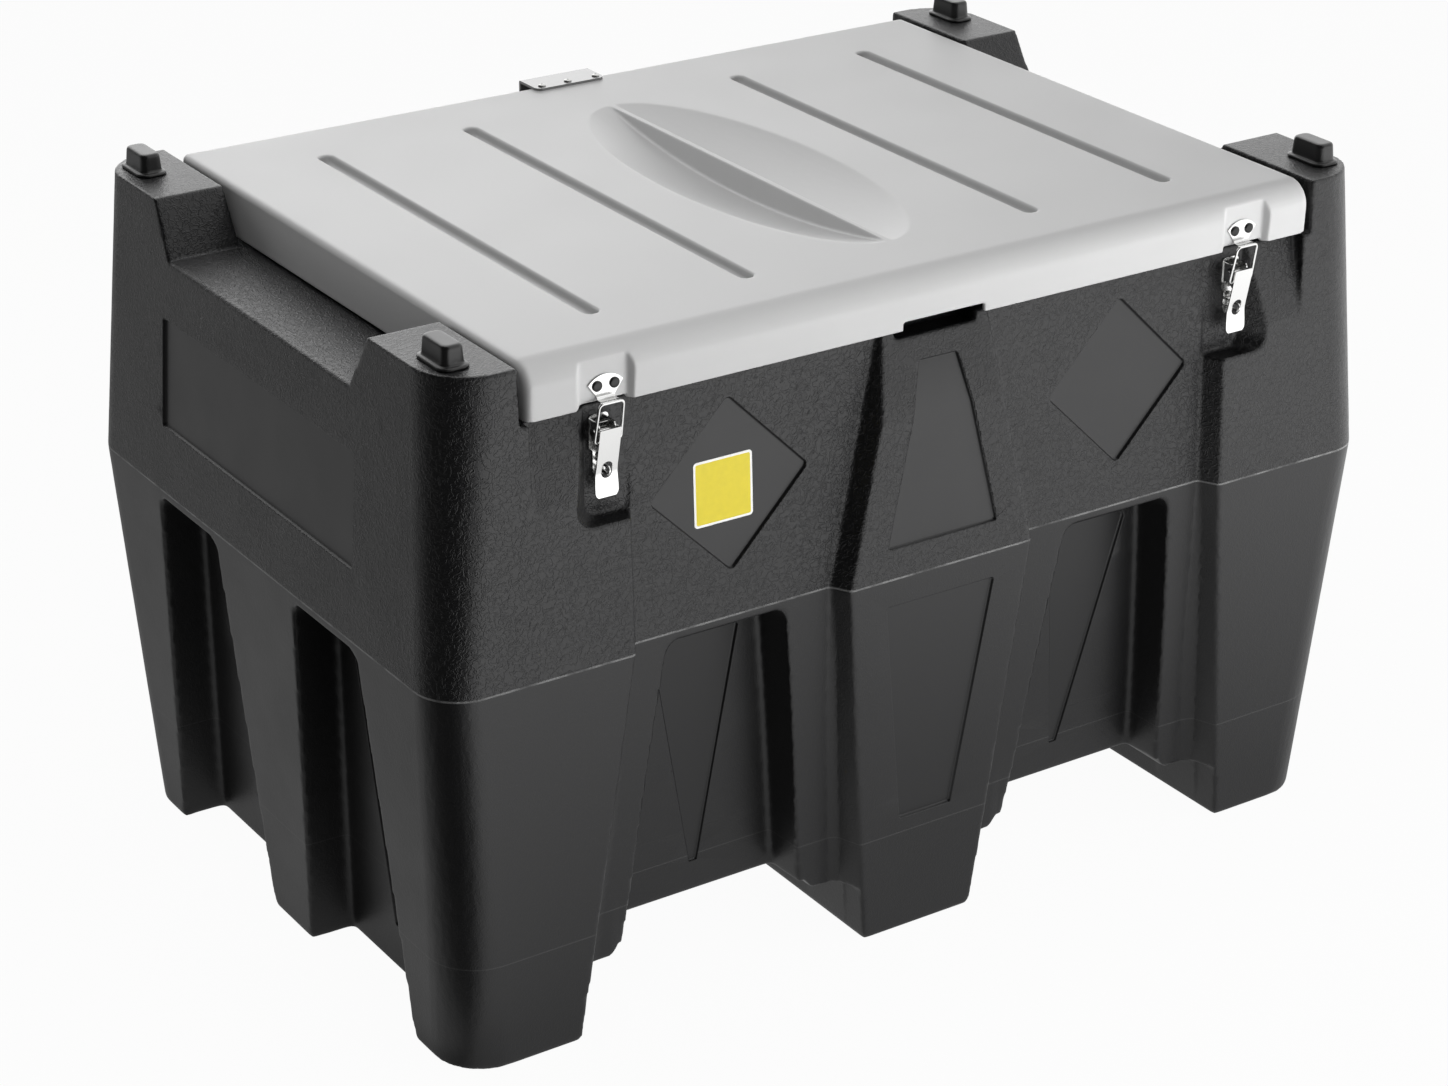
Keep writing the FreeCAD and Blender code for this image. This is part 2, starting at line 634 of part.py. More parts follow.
def short_side_fields():
    """Sunk fields on the left short side: the panel above the waist and one recess wedge."""
    skin = lambda y, z, inward: V(side_skin_x(z) + inward, y, z)
    recess = lambda y, z, inward: V(side_skin_x(z) + RECESS_DEPTH + inward, y, z)
    half, low, high = SHELF_HALF + 14.0, WAIST_Z + 76.0, RIM_Z - 67.0
    panel = sunk_field([(-half, low), (half, low), (half, high), (-half, high)], [3.0] * 4, skin)
    foot, low, high = 160.0 * SPREAD_Y, CHANNEL_Z - 7.0, RECESS_TOP_Z - 37.0
    inner, outer = SHORT_RECESS_TOP[0] + 30.0 * SPREAD_Y, SHORT_RECESS_TOP[1] - 23.0 * SPREAD_Y
    wedge = sunk_field([(-foot - 6.0, low), (-foot + 6.0, low), (-inner, high), (-outer, high)], [3.0] * 4, recess)
    return [panel, wedge]


def form(inset):
    """Tank body reduced by an inset: the outer form at zero, the fuel space at the wall."""
    body = block(inset)
    tools = []
    for shape in (long_panel(inset), long_rib_face(inset), long_recess(inset)):
        tools += four_way(shape)
    recess = short_recess(inset)
    tools += four_way(recess)
    tools += [channel(inset), mirror_x(channel(inset)), lid_bay(inset), setback(inset)]
    tools += [latch_pocket(inset), mirror_x(latch_pocket(inset)), finger_slot(inset)]
    return body.cut(tools)


def make_tank_shell():
    """Hollow moulded shell with the well, the rim and the openings in the well floor."""
    outer = form(0.0)
    fields = []
    for shape in front_fields():
        fields += four_way(shape)
    upper, upper_end, lower = column_fields()
    fields += [upper, upper_end, lower, mirror_y(upper), mirror_y(lower)]
    panel, wedge = short_side_fields()
    fields += [panel, mirror_x(panel)] + four_way(wedge)
    outer = outer.cut(fields).fuse(well_rim()).cut(well(0.0))
    inner = form(WALL).cut(well(WALL))
    shell = outer.cut(inner)
    through = [(FILLER_X, FILLER_Y, FILLER_NECK_R), (PUMP_X, PUMP_Y, PIPE_R),
               (GAUGE_X, GAUGE_Y, GAUGE_STEM_R), (VENT_X, VENT_Y, 9.0)]
    holes = [rod(r + FLOOR_HOLE_GAP, (x, y, WELL_FLOOR_Z - 2 * WALL), (x, y, WELL_FLOOR_Z + WALL))
             for x, y, r in through]
    depth = WALL - HOLE_END
    for x, y, r in floor_fixings():
        holes.append(rod(r + SCREW_GAP, (x, y, WELL_FLOOR_Z - depth), (x, y, WELL_FLOOR_Z + 1.0)))
    for x in HINGE_SCREWS_X:
        holes.append(rod(SCREW_R + SCREW_GAP, (x, BODY_SCREW_Y, RIM_Z - depth), (x, BODY_SCREW_Y, RIM_Z + 1.0)))
    for z in LATCH_RIVETS_Z:
        hole = rod(RIVET_SHANK_R + SCREW_GAP, (-LATCH_X, POCKET_FLOOR_Y - 1.0, z), (-LATCH_X, POCKET_FLOOR_Y + depth, z))
        holes += [hole, mirror_x(hole)]
    print("fuel space litres", round(inner.Volume / 1e6, 1), "solids", len(inner.Solids))
    return shell.cut(holes)


def filler_places():
    """Centres of the filler flange's screws."""
    return circle_places(6, FILLER_PCD_R, FILLER_X, FILLER_Y)


def gauge_places():
    """Centres of the gauge flange's screws."""
    return circle_places(4, GAUGE_PCD_R, GAUGE_X, GAUGE_Y, math.pi / 4)


def suction_places():
    """Centres of the suction flange's screws."""
    return circle_places(4, SUCTION_PCD_R, PUMP_X, PUMP_Y, math.pi / 4)


def holder_places():
    """Centres of the nozzle holder's screws."""
    return circle_places(3, HOLDER_PCD_R, HOLDER_X, HOLDER_Y)


def bracket_places():
    """Centres of the pump bracket's bolts."""
    return [(PUMP_X + sx * (BRACKET_X - 9.0), PUMP_Y + sy * (BRACKET_Y - 12.0)) for sx in (-1, 1) for sy in (-1, 1)]


def floor_fixings():
    """Every blind hole in the well floor, as x, y and the fastener's radius."""
    places = filler_places() + gauge_places() + suction_places() + holder_places()
    return [(x, y, SCREW_R) for x, y in places] + [(x, y, BOLT_R) for x, y in bracket_places()]


# Lid

def lid_profile(inset):
    """Side profile of the lid in the YZ plane, with the rounded shoulder at the front."""
    top = LID_TOP_Z - inset
    bottom = LID_BOTTOM_Z - (1.0 if inset else 0.0)
    front = LID_FRONT_Y + inset
    points = [(front + LID_FRONT_TUCK, bottom), (LID_REAR_Y - inset, bottom), (LID_REAR_Y - inset, top),
              (front, top)]
    radii = [0.0, 0.0, LID_EDGE - inset, LID_SHOULDER - inset]
    return points, radii


def lid_block(inset):
    """Closed block of the lid with its rounded side edges, smaller by an inset."""
    half = LID_HALF_X - inset
    points, radii = lid_profile(inset)
    face = Part.Face(rounded_wire(points, radii, lambda y, z: V(-half, y, z)))
    body = face.extrude(V(2 * half, 0, 0))
    ends = [e for e in body.Edges if abs(abs(e.CenterOfMass.x) - half) < 0.01
            and e.CenterOfMass.z > LID_BOTTOM_Z + 2.0]
    return body.makeFillet(LID_EDGE - inset, ends)


def groove(x, grow):
    """Long groove pressed into the lid from front to rear."""
    half = GROOVE_WIDTH / 2 + grow
    floor_z = LID_TOP_Z - GROOVE_DEPTH - grow
    front, rear = GROOVE_FRONT_Y + GROOVE_WIDTH / 2, GROOVE_REAR_Y - GROOVE_WIDTH / 2
    points = [(x - half, front - half), (x + half, front - half), (x + half, rear + half), (x - half, rear + half)]
    base = rounded_wire(points, [half - 0.05] * 4, lambda u, v: V(u, v, floor_z))
    return Part.Face(base).extrude(V(0, 0, GROOVE_DEPTH + 2 * LID_WALL))


def dish(grow):
    """Shallow oval dish in the middle of the lid, a scaled piece of a sphere."""
    chord = math.sqrt(1.0 - DISH_ROUNDNESS ** 2)
    half_y = (DISH_REAR_Y - DISH_FRONT_Y) / 2
    sx, sy = (DISH_HALF_X + grow) / chord, (half_y + grow) / chord
    sz = (DISH_DEPTH + grow) / (1.0 - DISH_ROUNDNESS)
    matrix = FreeCAD.Matrix()
    matrix.scale(sx, sy, sz)
    ball = Part.makeSphere(1.0).transformGeometry(matrix)
    centre_y = (DISH_REAR_Y + DISH_FRONT_Y) / 2
    ball.translate(V(0.0, centre_y, LID_TOP_Z + DISH_ROUNDNESS * sz))
    reach = 2 * LENGTH
    below = slab(-reach, reach, -reach, reach, LID_TOP_Z - 2 * DISH_DEPTH, LID_TOP_Z + 2.0)
    return ball.common(below)


def keel():
    """Upright rib along the middle of the dish, its crest level with the lid."""
    foot = KEEL_HALF + KEEL_DRAFT
    points = [(-foot, LID_TOP_Z - DISH_DEPTH - LID_WALL), (foot, LID_TOP_Z - DISH_DEPTH - LID_WALL),
              (KEEL_HALF, LID_TOP_Z), (-KEEL_HALF, LID_TOP_Z)]
    length = DISH_REAR_Y - DISH_FRONT_Y
    return prism(points, lambda x, z: V(x, DISH_FRONT_Y, z), V(0, length, 0))


def lid_notch(grow):
    """Flat set-back in the lid's front apron behind the left latch keeper."""
    wires = []
    floor_y = LID_FRONT_Y + NOTCH_DEPTH
    low, high = LID_BOTTOM_Z - 10.0, LID_TOP_Z + 10.0
    for steps in (0.0, 2.0):
        side = NOTCH_DRAFT * (1.0 - steps) - grow
        outer, inner = -NOTCH_OUTER + side, -NOTCH_INNER - side
        y = floor_y + grow - steps * (NOTCH_DEPTH + grow)
        wires.append(Part.makePolygon([V(outer, y, low), V(inner, y, low), V(inner, y, high), V(outer, y, high),
                                       V(outer, y, low)]))
    return loft(*wires)


def make_lid():
    """Lid: a thin moulded shell with grooves, dish, keel and latch notches."""
    outer = lid_block(0.0)
    inner = lid_block(LID_WALL)
    for x in GROOVE_X:
        outer = outer.cut(groove(x, 0.0))
        inner = inner.cut(groove(x, LID_WALL))
    outer = outer.cut(dish(0.0).cut(keel()))
    inner = inner.cut(dish(LID_WALL))
    notch, grown = lid_notch(0.0), lid_notch(LID_WALL)
    outer = outer.cut([notch, mirror_x(notch)])
    inner = inner.cut([grown, mirror_x(grown)])
    lid = outer.cut(inner)
    trims = []
    low = LID_BOTTOM_Z - 2.0
    trim = slab(-NOTCH_OUTER + NOTCH_DRAFT, -NOTCH_INNER - NOTCH_DRAFT, LID_FRONT_Y - 2.0,
                LID_FRONT_Y + LID_SHOULDER, low, NOTCH_BOTTOM_Z)
    trims += [trim, mirror_x(trim)]
    trims.append(slab(-SLOT_HALF, SLOT_HALF, LID_FRONT_Y - 2.0, LID_FRONT_Y + LID_SHOULDER, low, LID_SLOT_TOP_Z))
    for x in HINGE_SCREWS_X:
        trims.append(rod(SCREW_R + SCREW_GAP, (x, HINGE_SCREW_Y, LID_TOP_Z - 2 * LID_WALL),
                         (x, HINGE_SCREW_Y, LID_TOP_Z + LID_WALL)))
    for x, z in keeper_rivet_places():
        hole = rod(RIVET_SHANK_R + SCREW_GAP, (x, LID_FRONT_Y - 2.0, z), (x, LID_FRONT_Y + 2 * NOTCH_DEPTH, z))
        trims += [hole, mirror_x(hole)]
    return lid.cut(trims)


def make_lid_seal():
    """Foam strip on top of the well's rim."""
    middle = (RIM_WIDTH - SEAL_WIDTH) / 2
    top = LID_TOP_Z - LID_WALL - SEAL_GAP
    faces = []
    for reach in (middle + SEAL_WIDTH, middle):
        half = WELL_HALF_X + reach
        points = [(-half, WELL_FRONT_Y - reach), (half, WELL_FRONT_Y - reach), (half, WELL_REAR_Y + reach),
                  (-half, WELL_REAR_Y + reach)]
        wire = rounded_wire(points, [WELL_CORNER + reach] * 4, lambda x, y: V(x, y, RIM_TOP_Z))
        faces.append(Part.Face(wire).extrude(V(0, 0, top - RIM_TOP_Z)))
    return faces[0].cut(faces[1])


def stacking_buffer():
    """One rubber buffer on the front left post: a drafted block on a thin flange."""
    def plan(half_x, half_y, radius, z):
        points = [(-half_x, -half_y), (half_x, -half_y), (half_x, half_y), (-half_x, half_y)]
        return rounded_wire(points, [radius] * 4, lambda x, y: V(x - BUFFER_X, y - BUFFER_Y, z))
    half_x, half_y = BUFFER_WIDTH / 2, BUFFER_LENGTH / 2
    top = POST_Z + BUFFER_HEIGHT
    draft = 2.0
    body = loft(plan(half_x, half_y, 8.0, POST_Z), plan(half_x - draft, half_y - draft, 7.0, top))
    upper = [e for e in body.Edges if e.CenterOfMass.z > top - 0.01]
    body = body.makeFillet(3.5, upper)
    flange = Part.Face(plan(half_x + BUFFER_FLANGE, half_y + BUFFER_FLANGE, 11.0, POST_Z))
    flange = flange.extrude(V(0, 0, BUFFER_FLANGE_HEIGHT))
    rim = [e for e in flange.Edges if e.CenterOfMass.z > POST_Z + BUFFER_FLANGE_HEIGHT - 0.01]
    return body.fuse(flange.makeFillet(2.0, rim)).removeSplitter()


# Fasteners

def pan_screw(x, y, z, depth, head_r=None):
    """Vertical screw with a domed head standing on a face at height z."""
    head_r = head_r or SCREW_HEAD_R
    head = rod(head_r, (x, y, z), (x, y, z + SCREW_HEAD_H))
    rim = [e for e in head.Edges if e.CenterOfMass.z > z + SCREW_HEAD_H - 0.01 and e.Closed]
    head = head.makeFillet(SCREW_HEAD_H * 0.6, rim)
    return head.fuse(rod(SCREW_R, (x, y, z - depth), (x, y, z)))


def hex_bolt(x, y, z, depth):
    """Vertical bolt with a hexagon head standing on a face at height z."""
    corners = [V(x + BOLT_HEAD_R * math.cos(math.pi * i / 3), y + BOLT_HEAD_R * math.sin(math.pi * i / 3), z)
               for i in range(7)]
    head = Part.Face(Part.makePolygon(corners)).extrude(V(0, 0, BOLT_HEAD_H))
    return head.fuse(rod(BOLT_R, (x, y, z - depth), (x, y, z)))


def rivet(x, y, z, depth, head_r):
    """Rivet along Y whose domed head faces -Y and stands on a face at y."""
    head = rod(head_r, (x, y, z), (x, y - RIVET_HEIGHT, z))
    rim = [e for e in head.Edges if e.CenterOfMass.y < y - RIVET_HEIGHT + 0.01 and e.Closed]
    head = head.makeFillet(RIVET_HEIGHT * 0.7, rim)
    return head.fuse(rod(RIVET_SHANK_R, (x, y, z), (x, y + depth, z)))


# Lid hinge

def make_hinge_lid_leaf():
    """Bent leaf screwed on the lid: top plate, drop behind the lid and two outer knuckles."""
    half = HINGE_LENGTH / 2
    back = HINGE_Y + HINGE_SHEET / 2
    points = [(-half, HINGE_FRONT_Y), (half, HINGE_FRONT_Y), (half, back), (-half, back)]
    plan = rounded_wire(points, [8.0, 8.0, 0.0, 0.0], lambda x, y: V(x, y, LID_TOP_Z))
    plate = Part.Face(plan).extrude(V(0, 0, HINGE_SHEET))
    drop = slab(-half, half, back - HINGE_SHEET, back, HINGE_Z, LID_TOP_Z + HINGE_SHEET)
    leaf = plate.fuse(drop)
    bend = [e for e in leaf.Edges if abs(e.CenterOfMass.y - back) < 0.01
            and abs(e.CenterOfMass.z - LID_TOP_Z - HINGE_SHEET) < 0.01]
    leaf = leaf.makeFillet(HINGE_SHEET * 0.9, bend)
    gap = HINGE_MIDDLE / 2 + HINGE_END_GAP
    leaf = leaf.cut(slab(-gap, gap, back - 2 * HINGE_SHEET, back + 1.0, 0.0, HINGE_Z + HINGE_KNUCKLE_R + 1.0))
    for side in (-1, 1):
        leaf = leaf.fuse(rod(HINGE_KNUCKLE_R, (side * gap, HINGE_Y, HINGE_Z), (side * half, HINGE_Y, HINGE_Z)))
    bore = rod(HINGE_PIN_R + PIN_CLEARANCE, (-half - 1.0, HINGE_Y, HINGE_Z), (half + 1.0, HINGE_Y, HINGE_Z))
    holes = [rod(SCREW_R + SCREW_GAP, (x, HINGE_SCREW_Y, LID_TOP_Z - 1.0), (x, HINGE_SCREW_Y, LID_TOP_Z + 9.0))
             for x in HINGE_SCREWS_X]
    return leaf.cut([bore] + holes)


def make_hinge_body_leaf():
    """Flat leaf screwed on the ledge behind the lid, with the middle knuckle on a web."""
    half = HINGE_LENGTH / 2
    plate = slab(-half, half, BODY_LEAF_Y[0], BODY_LEAF_Y[1], RIM_Z, RIM_Z + HINGE_SHEET)
    mid = HINGE_MIDDLE / 2
    web = slab(-mid, mid, HINGE_Y - HINGE_SHEET, HINGE_Y + HINGE_SHEET, RIM_Z, HINGE_Z)
    knuckle = rod(HINGE_KNUCKLE_R, (-mid, HINGE_Y, HINGE_Z), (mid, HINGE_Y, HINGE_Z))
    bore = rod(HINGE_PIN_R + PIN_CLEARANCE, (-half, HINGE_Y, HINGE_Z), (half, HINGE_Y, HINGE_Z))
    holes = [rod(SCREW_R + SCREW_GAP, (x, BODY_SCREW_Y, RIM_Z - 1.0), (x, BODY_SCREW_Y, RIM_Z + 9.0))
             for x in HINGE_SCREWS_X]
    return plate.fuse(web).fuse(knuckle).cut([bore] + holes)


def make_hinge_pin():
    """Pin through the three knuckles, with a low head at each end."""
    half = HINGE_LENGTH / 2
    pin = rod(HINGE_PIN_R, (-half - HINGE_END_GAP, HINGE_Y, HINGE_Z), (half + HINGE_END_GAP, HINGE_Y, HINGE_Z))
    for side in (-1, 1):
        start = side * (half + HINGE_END_GAP)
        pin = pin.fuse(rod(HINGE_PIN_R + 1.5, (start, HINGE_Y, HINGE_Z), (start + side * 1.5, HINGE_Y, HINGE_Z)))
    return pin


# Toggle latch, built about the left latch's centre line

def latch_base():
    """Back plate with two ears for the pivot and a bridge between them."""
    x, half = -LATCH_X, LATCH_BASE_WIDTH / 2
    face_y = POCKET_FLOOR_Y - LATCH_SHEET
    tongue, neck_z = LATCH_TONGUE_WIDTH / 2, LATCH_TONGUE_Z
    points = [(x - tongue, LATCH_BASE_BOTTOM_Z), (x + tongue, LATCH_BASE_BOTTOM_Z), (x + tongue, neck_z - 4.0),
              (x + half, neck_z), (x + half, LATCH_BASE_TOP_Z), (x - half, LATCH_BASE_TOP_Z), (x - half, neck_z),
              (x - tongue, neck_z - 4.0)]
    radii = [5.0, 5.0, 1.5, 1.5, 4.0, 4.0, 1.5, 1.5]
    plate = Part.Face(rounded_wire(points, radii, lambda u, v: V(u, POCKET_FLOOR_Y, v)))
    base = plate.extrude(V(0, -LATCH_SHEET, 0))
    outline_points = [(face_y + 0.5, LATCH_PIVOT_Z - 14.0), (face_y + 0.5, LATCH_BASE_TOP_Z - 4.0),
                      (LATCH_PIVOT_Y - 6.0, LATCH_PIVOT_Z + 9.0), (LATCH_PIVOT_Y - 6.0, LATCH_PIVOT_Z - 5.0)]
    for side in (-1, 1):
        inner = x + side * (EAR_OUTER - LATCH_SHEET)
        ear = Part.Face(rounded_wire(outline_points, [0.0, 0.0, 4.0, 4.0], lambda u, v: V(inner, u, v)))
        base = base.fuse(ear.extrude(V(side * LATCH_SHEET, 0, 0)))
    bridge = slab(x - EAR_OUTER + LATCH_SHEET, x + EAR_OUTER - LATCH_SHEET, LATCH_PIVOT_Y + 2.0,
                  LATCH_PIVOT_Y + 2.0 + LATCH_SHEET, LATCH_PIVOT_Z + 3.5, LATCH_PIVOT_Z + 8.0)
    hole = rod(LATCH_PIVOT_R + PIN_CLEARANCE, (x - 2 * half, LATCH_PIVOT_Y, LATCH_PIVOT_Z),
               (x + 2 * half, LATCH_PIVOT_Y, LATCH_PIVOT_Z))
    rivets = [rod(RIVET_SHANK_R + SCREW_GAP, (x, face_y - 1.0, z), (x, POCKET_FLOOR_Y + 1.0, z))
              for z in LATCH_RIVETS_Z]
    return base.fuse(bridge).cut([hole] + rivets)


def lever_face_y(z):
    """Outer face of the closed lever above its bend, which leans in towards its lower end."""
    return slope(z, LEVER_BEND_Z, LEVER_FACE_Y + LEVER_SLANT, LEVER_TOP_Z, LEVER_FACE_Y)


def latch_lever():
    """Leaning lever with a kicked tip, two side flanges for the pivot and a slot for the staple."""
    x, t = -LATCH_X, LATCH_SHEET
    tip_y, top_y, bend_y = LEVER_TIP_Y, LEVER_FACE_Y, lever_face_y(LEVER_BEND_Z)
    profile = [(top_y, LEVER_TOP_Z), (bend_y, LEVER_BEND_Z), (tip_y, LEVER_END_Z), (tip_y + t, LEVER_END_Z),
               (bend_y + t, LEVER_BEND_Z), (top_y + t, LEVER_TOP_Z)]
    wire = rounded_wire(profile, [0.0, 20.0, 0.0, 0.0, 20.0, 0.0], lambda y, z: V(x - LEVER_END_WIDTH, y, z))
    sheet = Part.Face(wire).extrude(V(2 * LEVER_END_WIDTH, 0, 0))
    half, end_half = LEVER_WIDTH / 2, LEVER_END_WIDTH / 2
    plan = [(x - end_half, LEVER_END_Z - 1.0), (x + end_half, LEVER_END_Z - 1.0), (x + end_half, LEVER_BEND_Z - 12.0),
            (x + half, LEVER_BEND_Z + 8.0), (x + half, LEVER_TOP_Z + 1.0), (x - half, LEVER_TOP_Z + 1.0),
            (x - half, LEVER_BEND_Z + 8.0), (x - end_half, LEVER_BEND_Z - 12.0)]
    radii = [7.0, 7.0, 10.0, 10.0, 3.0, 3.0, 10.0, 10.0]
    cutter = Part.Face(rounded_wire(plan, radii, lambda u, v: V(u, top_y - 5.0, v))).extrude(V(0, 30.0, 0))
    lever = sheet.common(cutter)
    low, high = LATCH_PIVOT_Z - 15.0, LEVER_TOP_Z - 3.0
    flange_outline = [(lever_face_y(low) + t / 2, low), (lever_face_y(high) + t / 2, high),
                      (LATCH_PIVOT_Y + 4.0, LEVER_TOP_Z), (LATCH_PIVOT_Y + 4.0, LATCH_PIVOT_Z - 5.0)]
    for side in (-1, 1):
        inner = x + side * (half - t)
        flange = Part.Face(rounded_wire(flange_outline, [0.0, 0.0, 4.0, 4.0], lambda u, v: V(inner, u, v)))
        lever = lever.fuse(flange.extrude(V(side * t, 0, 0)))
    slot_x, slot_z = LEVER_SLOT[0] / 2, LEVER_SLOT[1] / 2
    opening = [(x - slot_x, STAPLE_Z - slot_z), (x + slot_x, STAPLE_Z - slot_z), (x + slot_x, STAPLE_Z + slot_z),
               (x - slot_x, STAPLE_Z + slot_z)]
    slot = Part.Face(rounded_wire(opening, [slot_x - 0.1] * 4, lambda u, v: V(u, top_y - 5.0, v)))
    pivot = rod(LATCH_PIVOT_R + PIN_CLEARANCE, (x - 2 * half, LATCH_PIVOT_Y, LATCH_PIVOT_Z),
                (x + 2 * half, LATCH_PIVOT_Y, LATCH_PIVOT_Z))
    bail_hole = rod(BAIL_WIRE_R + BAIL_CLEARANCE, (x - 2 * half, BAIL_HOLE_Y, BAIL_HOLE_Z),
                    (x + 2 * half, BAIL_HOLE_Y, BAIL_HOLE_Z))
    return lever.cut([slot.extrude(V(0, 30.0, 0)), pivot, bail_hole])


def latch_pivot():
    """Riveted pivot through the ears and the lever's flanges."""
    x, half = -LATCH_X, LEVER_WIDTH / 2 + PIVOT_HEAD_GAP
    pin = rod(LATCH_PIVOT_R, (x - half, LATCH_PIVOT_Y, LATCH_PIVOT_Z), (x + half, LATCH_PIVOT_Y, LATCH_PIVOT_Z))
    for side in (-1, 1):
        start = x + side * half
        pin = pin.fuse(rod(PIVOT_HEAD_R, (start, LATCH_PIVOT_Y, LATCH_PIVOT_Z),
                           (start + side * LATCH_SHEET, LATCH_PIVOT_Y, LATCH_PIVOT_Z)))
    return pin


def latch_staple():
    """Padlock loop that stands out through the lever's slot."""
    x = -LATCH_X
    centre_y = lever_face_y(STAPLE_Z) - STAPLE_REACH + STAPLE_HALF + STAPLE_WIRE_R
    loop = Part.makeTorus(STAPLE_HALF, STAPLE_WIRE_R, V(x, centre_y, STAPLE_Z), V(1, 0, 0))
    reach = 4 * STAPLE_HALF
    loop = loop.common(slab(x - reach, x + reach, centre_y - reach, centre_y, STAPLE_Z - reach, STAPLE_Z + reach))
    for side in (-1, 1):
        z = STAPLE_Z + side * STAPLE_HALF
        loop = loop.fuse(rod(STAPLE_WIRE_R, (x, centre_y, z), (x, POCKET_FLOOR_Y - LATCH_SHEET, z)))
    return loop


def latch_bail():
    """Wire bail: two legs with inturned ends, and a crossbar in front of the keeper's lip."""
    x = -LATCH_X
    solids = []
    stub = LEVER_WIDTH / 2 - LATCH_SHEET
    for side in (-1, 1):
        foot = (x + side * BAIL_END_HALF, BAIL_HOLE_Y, BAIL_HOLE_Z)
        head = (x + side * BAIL_TOP_HALF, BAIL_TOP_Y, BAIL_TOP_Z)
        solids += [rod(BAIL_WIRE_R, (x + side * stub, BAIL_HOLE_Y, BAIL_HOLE_Z), foot),
                   Part.makeSphere(BAIL_WIRE_R, V(*foot)), rod(BAIL_WIRE_R, foot, head),
                   Part.makeSphere(BAIL_WIRE_R, V(*head))]
    solids.append(rod(BAIL_WIRE_R, (x - BAIL_TOP_HALF, BAIL_TOP_Y, BAIL_TOP_Z),
                      (x + BAIL_TOP_HALF, BAIL_TOP_Y, BAIL_TOP_Z)))
    return solids[0].fuse(solids[1:])


def keeper_rivet_places():
    """Centres of the left keeper's two rivets, as x and z."""
    return [(-LATCH_X + side * KEEPER_RIVET_HALF, KEEPER_RIVET_Z) for side in (-1, 1)]


def latch_keeper():
    """Fan-shaped keeper riveted on the lid, with an outturned lip."""
    x, half, neck = -LATCH_X, KEEPER_WIDTH / 2, KEEPER_NECK / 2
    back = LID_FRONT_Y + NOTCH_DEPTH
    bend_z = KEEPER_LIP_Z + KEEPER_BEND_R
    shoulder_z = KEEPER_TOP_Z - 9.0
    left, right = V(x - half, back, shoulder_z), V(x + half, back, shoulder_z)
    edges = [
        Part.LineSegment(V(x - neck, back, bend_z), V(x + neck, back, bend_z)).toShape(),
        Part.LineSegment(V(x + neck, back, bend_z), right).toShape(),
        Part.Arc(right, V(x, back, KEEPER_TOP_Z), left).toShape(),
        Part.LineSegment(left, V(x - neck, back, bend_z)).toShape(),
    ]
    plate = Part.Face(Part.Wire(edges)).extrude(V(0, -KEEPER_SHEET, 0))
    centre_y = back - KEEPER_BEND_R
    ring = tube(KEEPER_BEND_R, KEEPER_BEND_R - KEEPER_SHEET, (x - neck, centre_y, bend_z),
                (x + neck, centre_y, bend_z))
    quarter = slab(x - neck, x + neck, centre_y, back + 1.0, KEEPER_LIP_Z - 1.0, bend_z)
    lip = slab(x - neck, x + neck, back - KEEPER_LIP_OUT, centre_y, KEEPER_LIP_Z, KEEPER_LIP_Z + KEEPER_SHEET)
    holes = [rod(RIVET_SHANK_R + SCREW_GAP, (hx, back - 5.0, hz), (hx, back + 1.0, hz))
             for hx, hz in keeper_rivet_places()]
    return plate.fuse(ring.common(quarter)).fuse(lip).cut(holes)


# Filler

def make_filler_neck():
    """Filler neck with its flange on the well floor."""
    x, y, floor = FILLER_X, FILLER_Y, WELL_FLOOR_Z
    neck = rod(FILLER_NECK_R, (x, y, floor - 2 * WALL), (x, y, floor + FILLER_NECK_TOP))
    flange = rod(FILLER_FLANGE_R, (x, y, floor), (x, y, floor + FILLER_FLANGE_T))
    bore = rod(FILLER_BORE_R, (x, y, floor - 3 * WALL), (x, y, floor + FILLER_NECK_TOP + 1.0))
    holes = upright_holes(filler_places(), SCREW_R + SCREW_GAP, floor - 1.0, floor + 2 * FILLER_FLANGE_T)
    return neck.fuse(flange).cut([bore] + holes)


def make_filler_gasket():
    """Flat ring on the neck's mouth."""
    z = WELL_FLOOR_Z + FILLER_NECK_TOP
    return tube(FILLER_NECK_R, FILLER_BORE_R, (FILLER_X, FILLER_Y, z), (FILLER_X, FILLER_Y, z + FILLER_GASKET_T))


def make_filler_cap():
    """Screw cap with a skirt over the neck and grip ribs round it."""
    x, y = FILLER_X, FILLER_Y
    under = WELL_FLOOR_Z + FILLER_NECK_TOP + FILLER_GASKET_T + CAP_SEAT_GAP
    top = under + FILLER_CAP_TOP
    cap = rod(FILLER_CAP_R, (x, y, top - FILLER_CAP_HEIGHT), (x, y, top))
    rim = [e for e in cap.Edges if e.Closed and e.CenterOfMass.z > top - 0.01]
    cap = cap.makeFillet(3.0, rim)
    ribs = upright_holes(circle_places(16, FILLER_CAP_R, x, y), 3.0, top - FILLER_CAP_HEIGHT, top - 4.0)
    hollow = rod(FILLER_NECK_R + FILLER_CAP_GAP, (x, y, top - FILLER_CAP_HEIGHT - 1.0), (x, y, under))
    grip = slab(x - 52.0, x + 52.0, y - 5.0, y + 5.0, top, top + 10.0)
    return cap.fuse(ribs).cut(hollow).fuse(grip)


def floor_screws(places, seat):
    """Screws that hold a flange of some thickness on the well floor."""
    depth = seat + WALL - HOLE_END - HOLE_SPARE
    return [pan_screw(x, y, WELL_FLOOR_Z + seat, depth) for x, y in places]


# Vent, gauge and nozzle holder

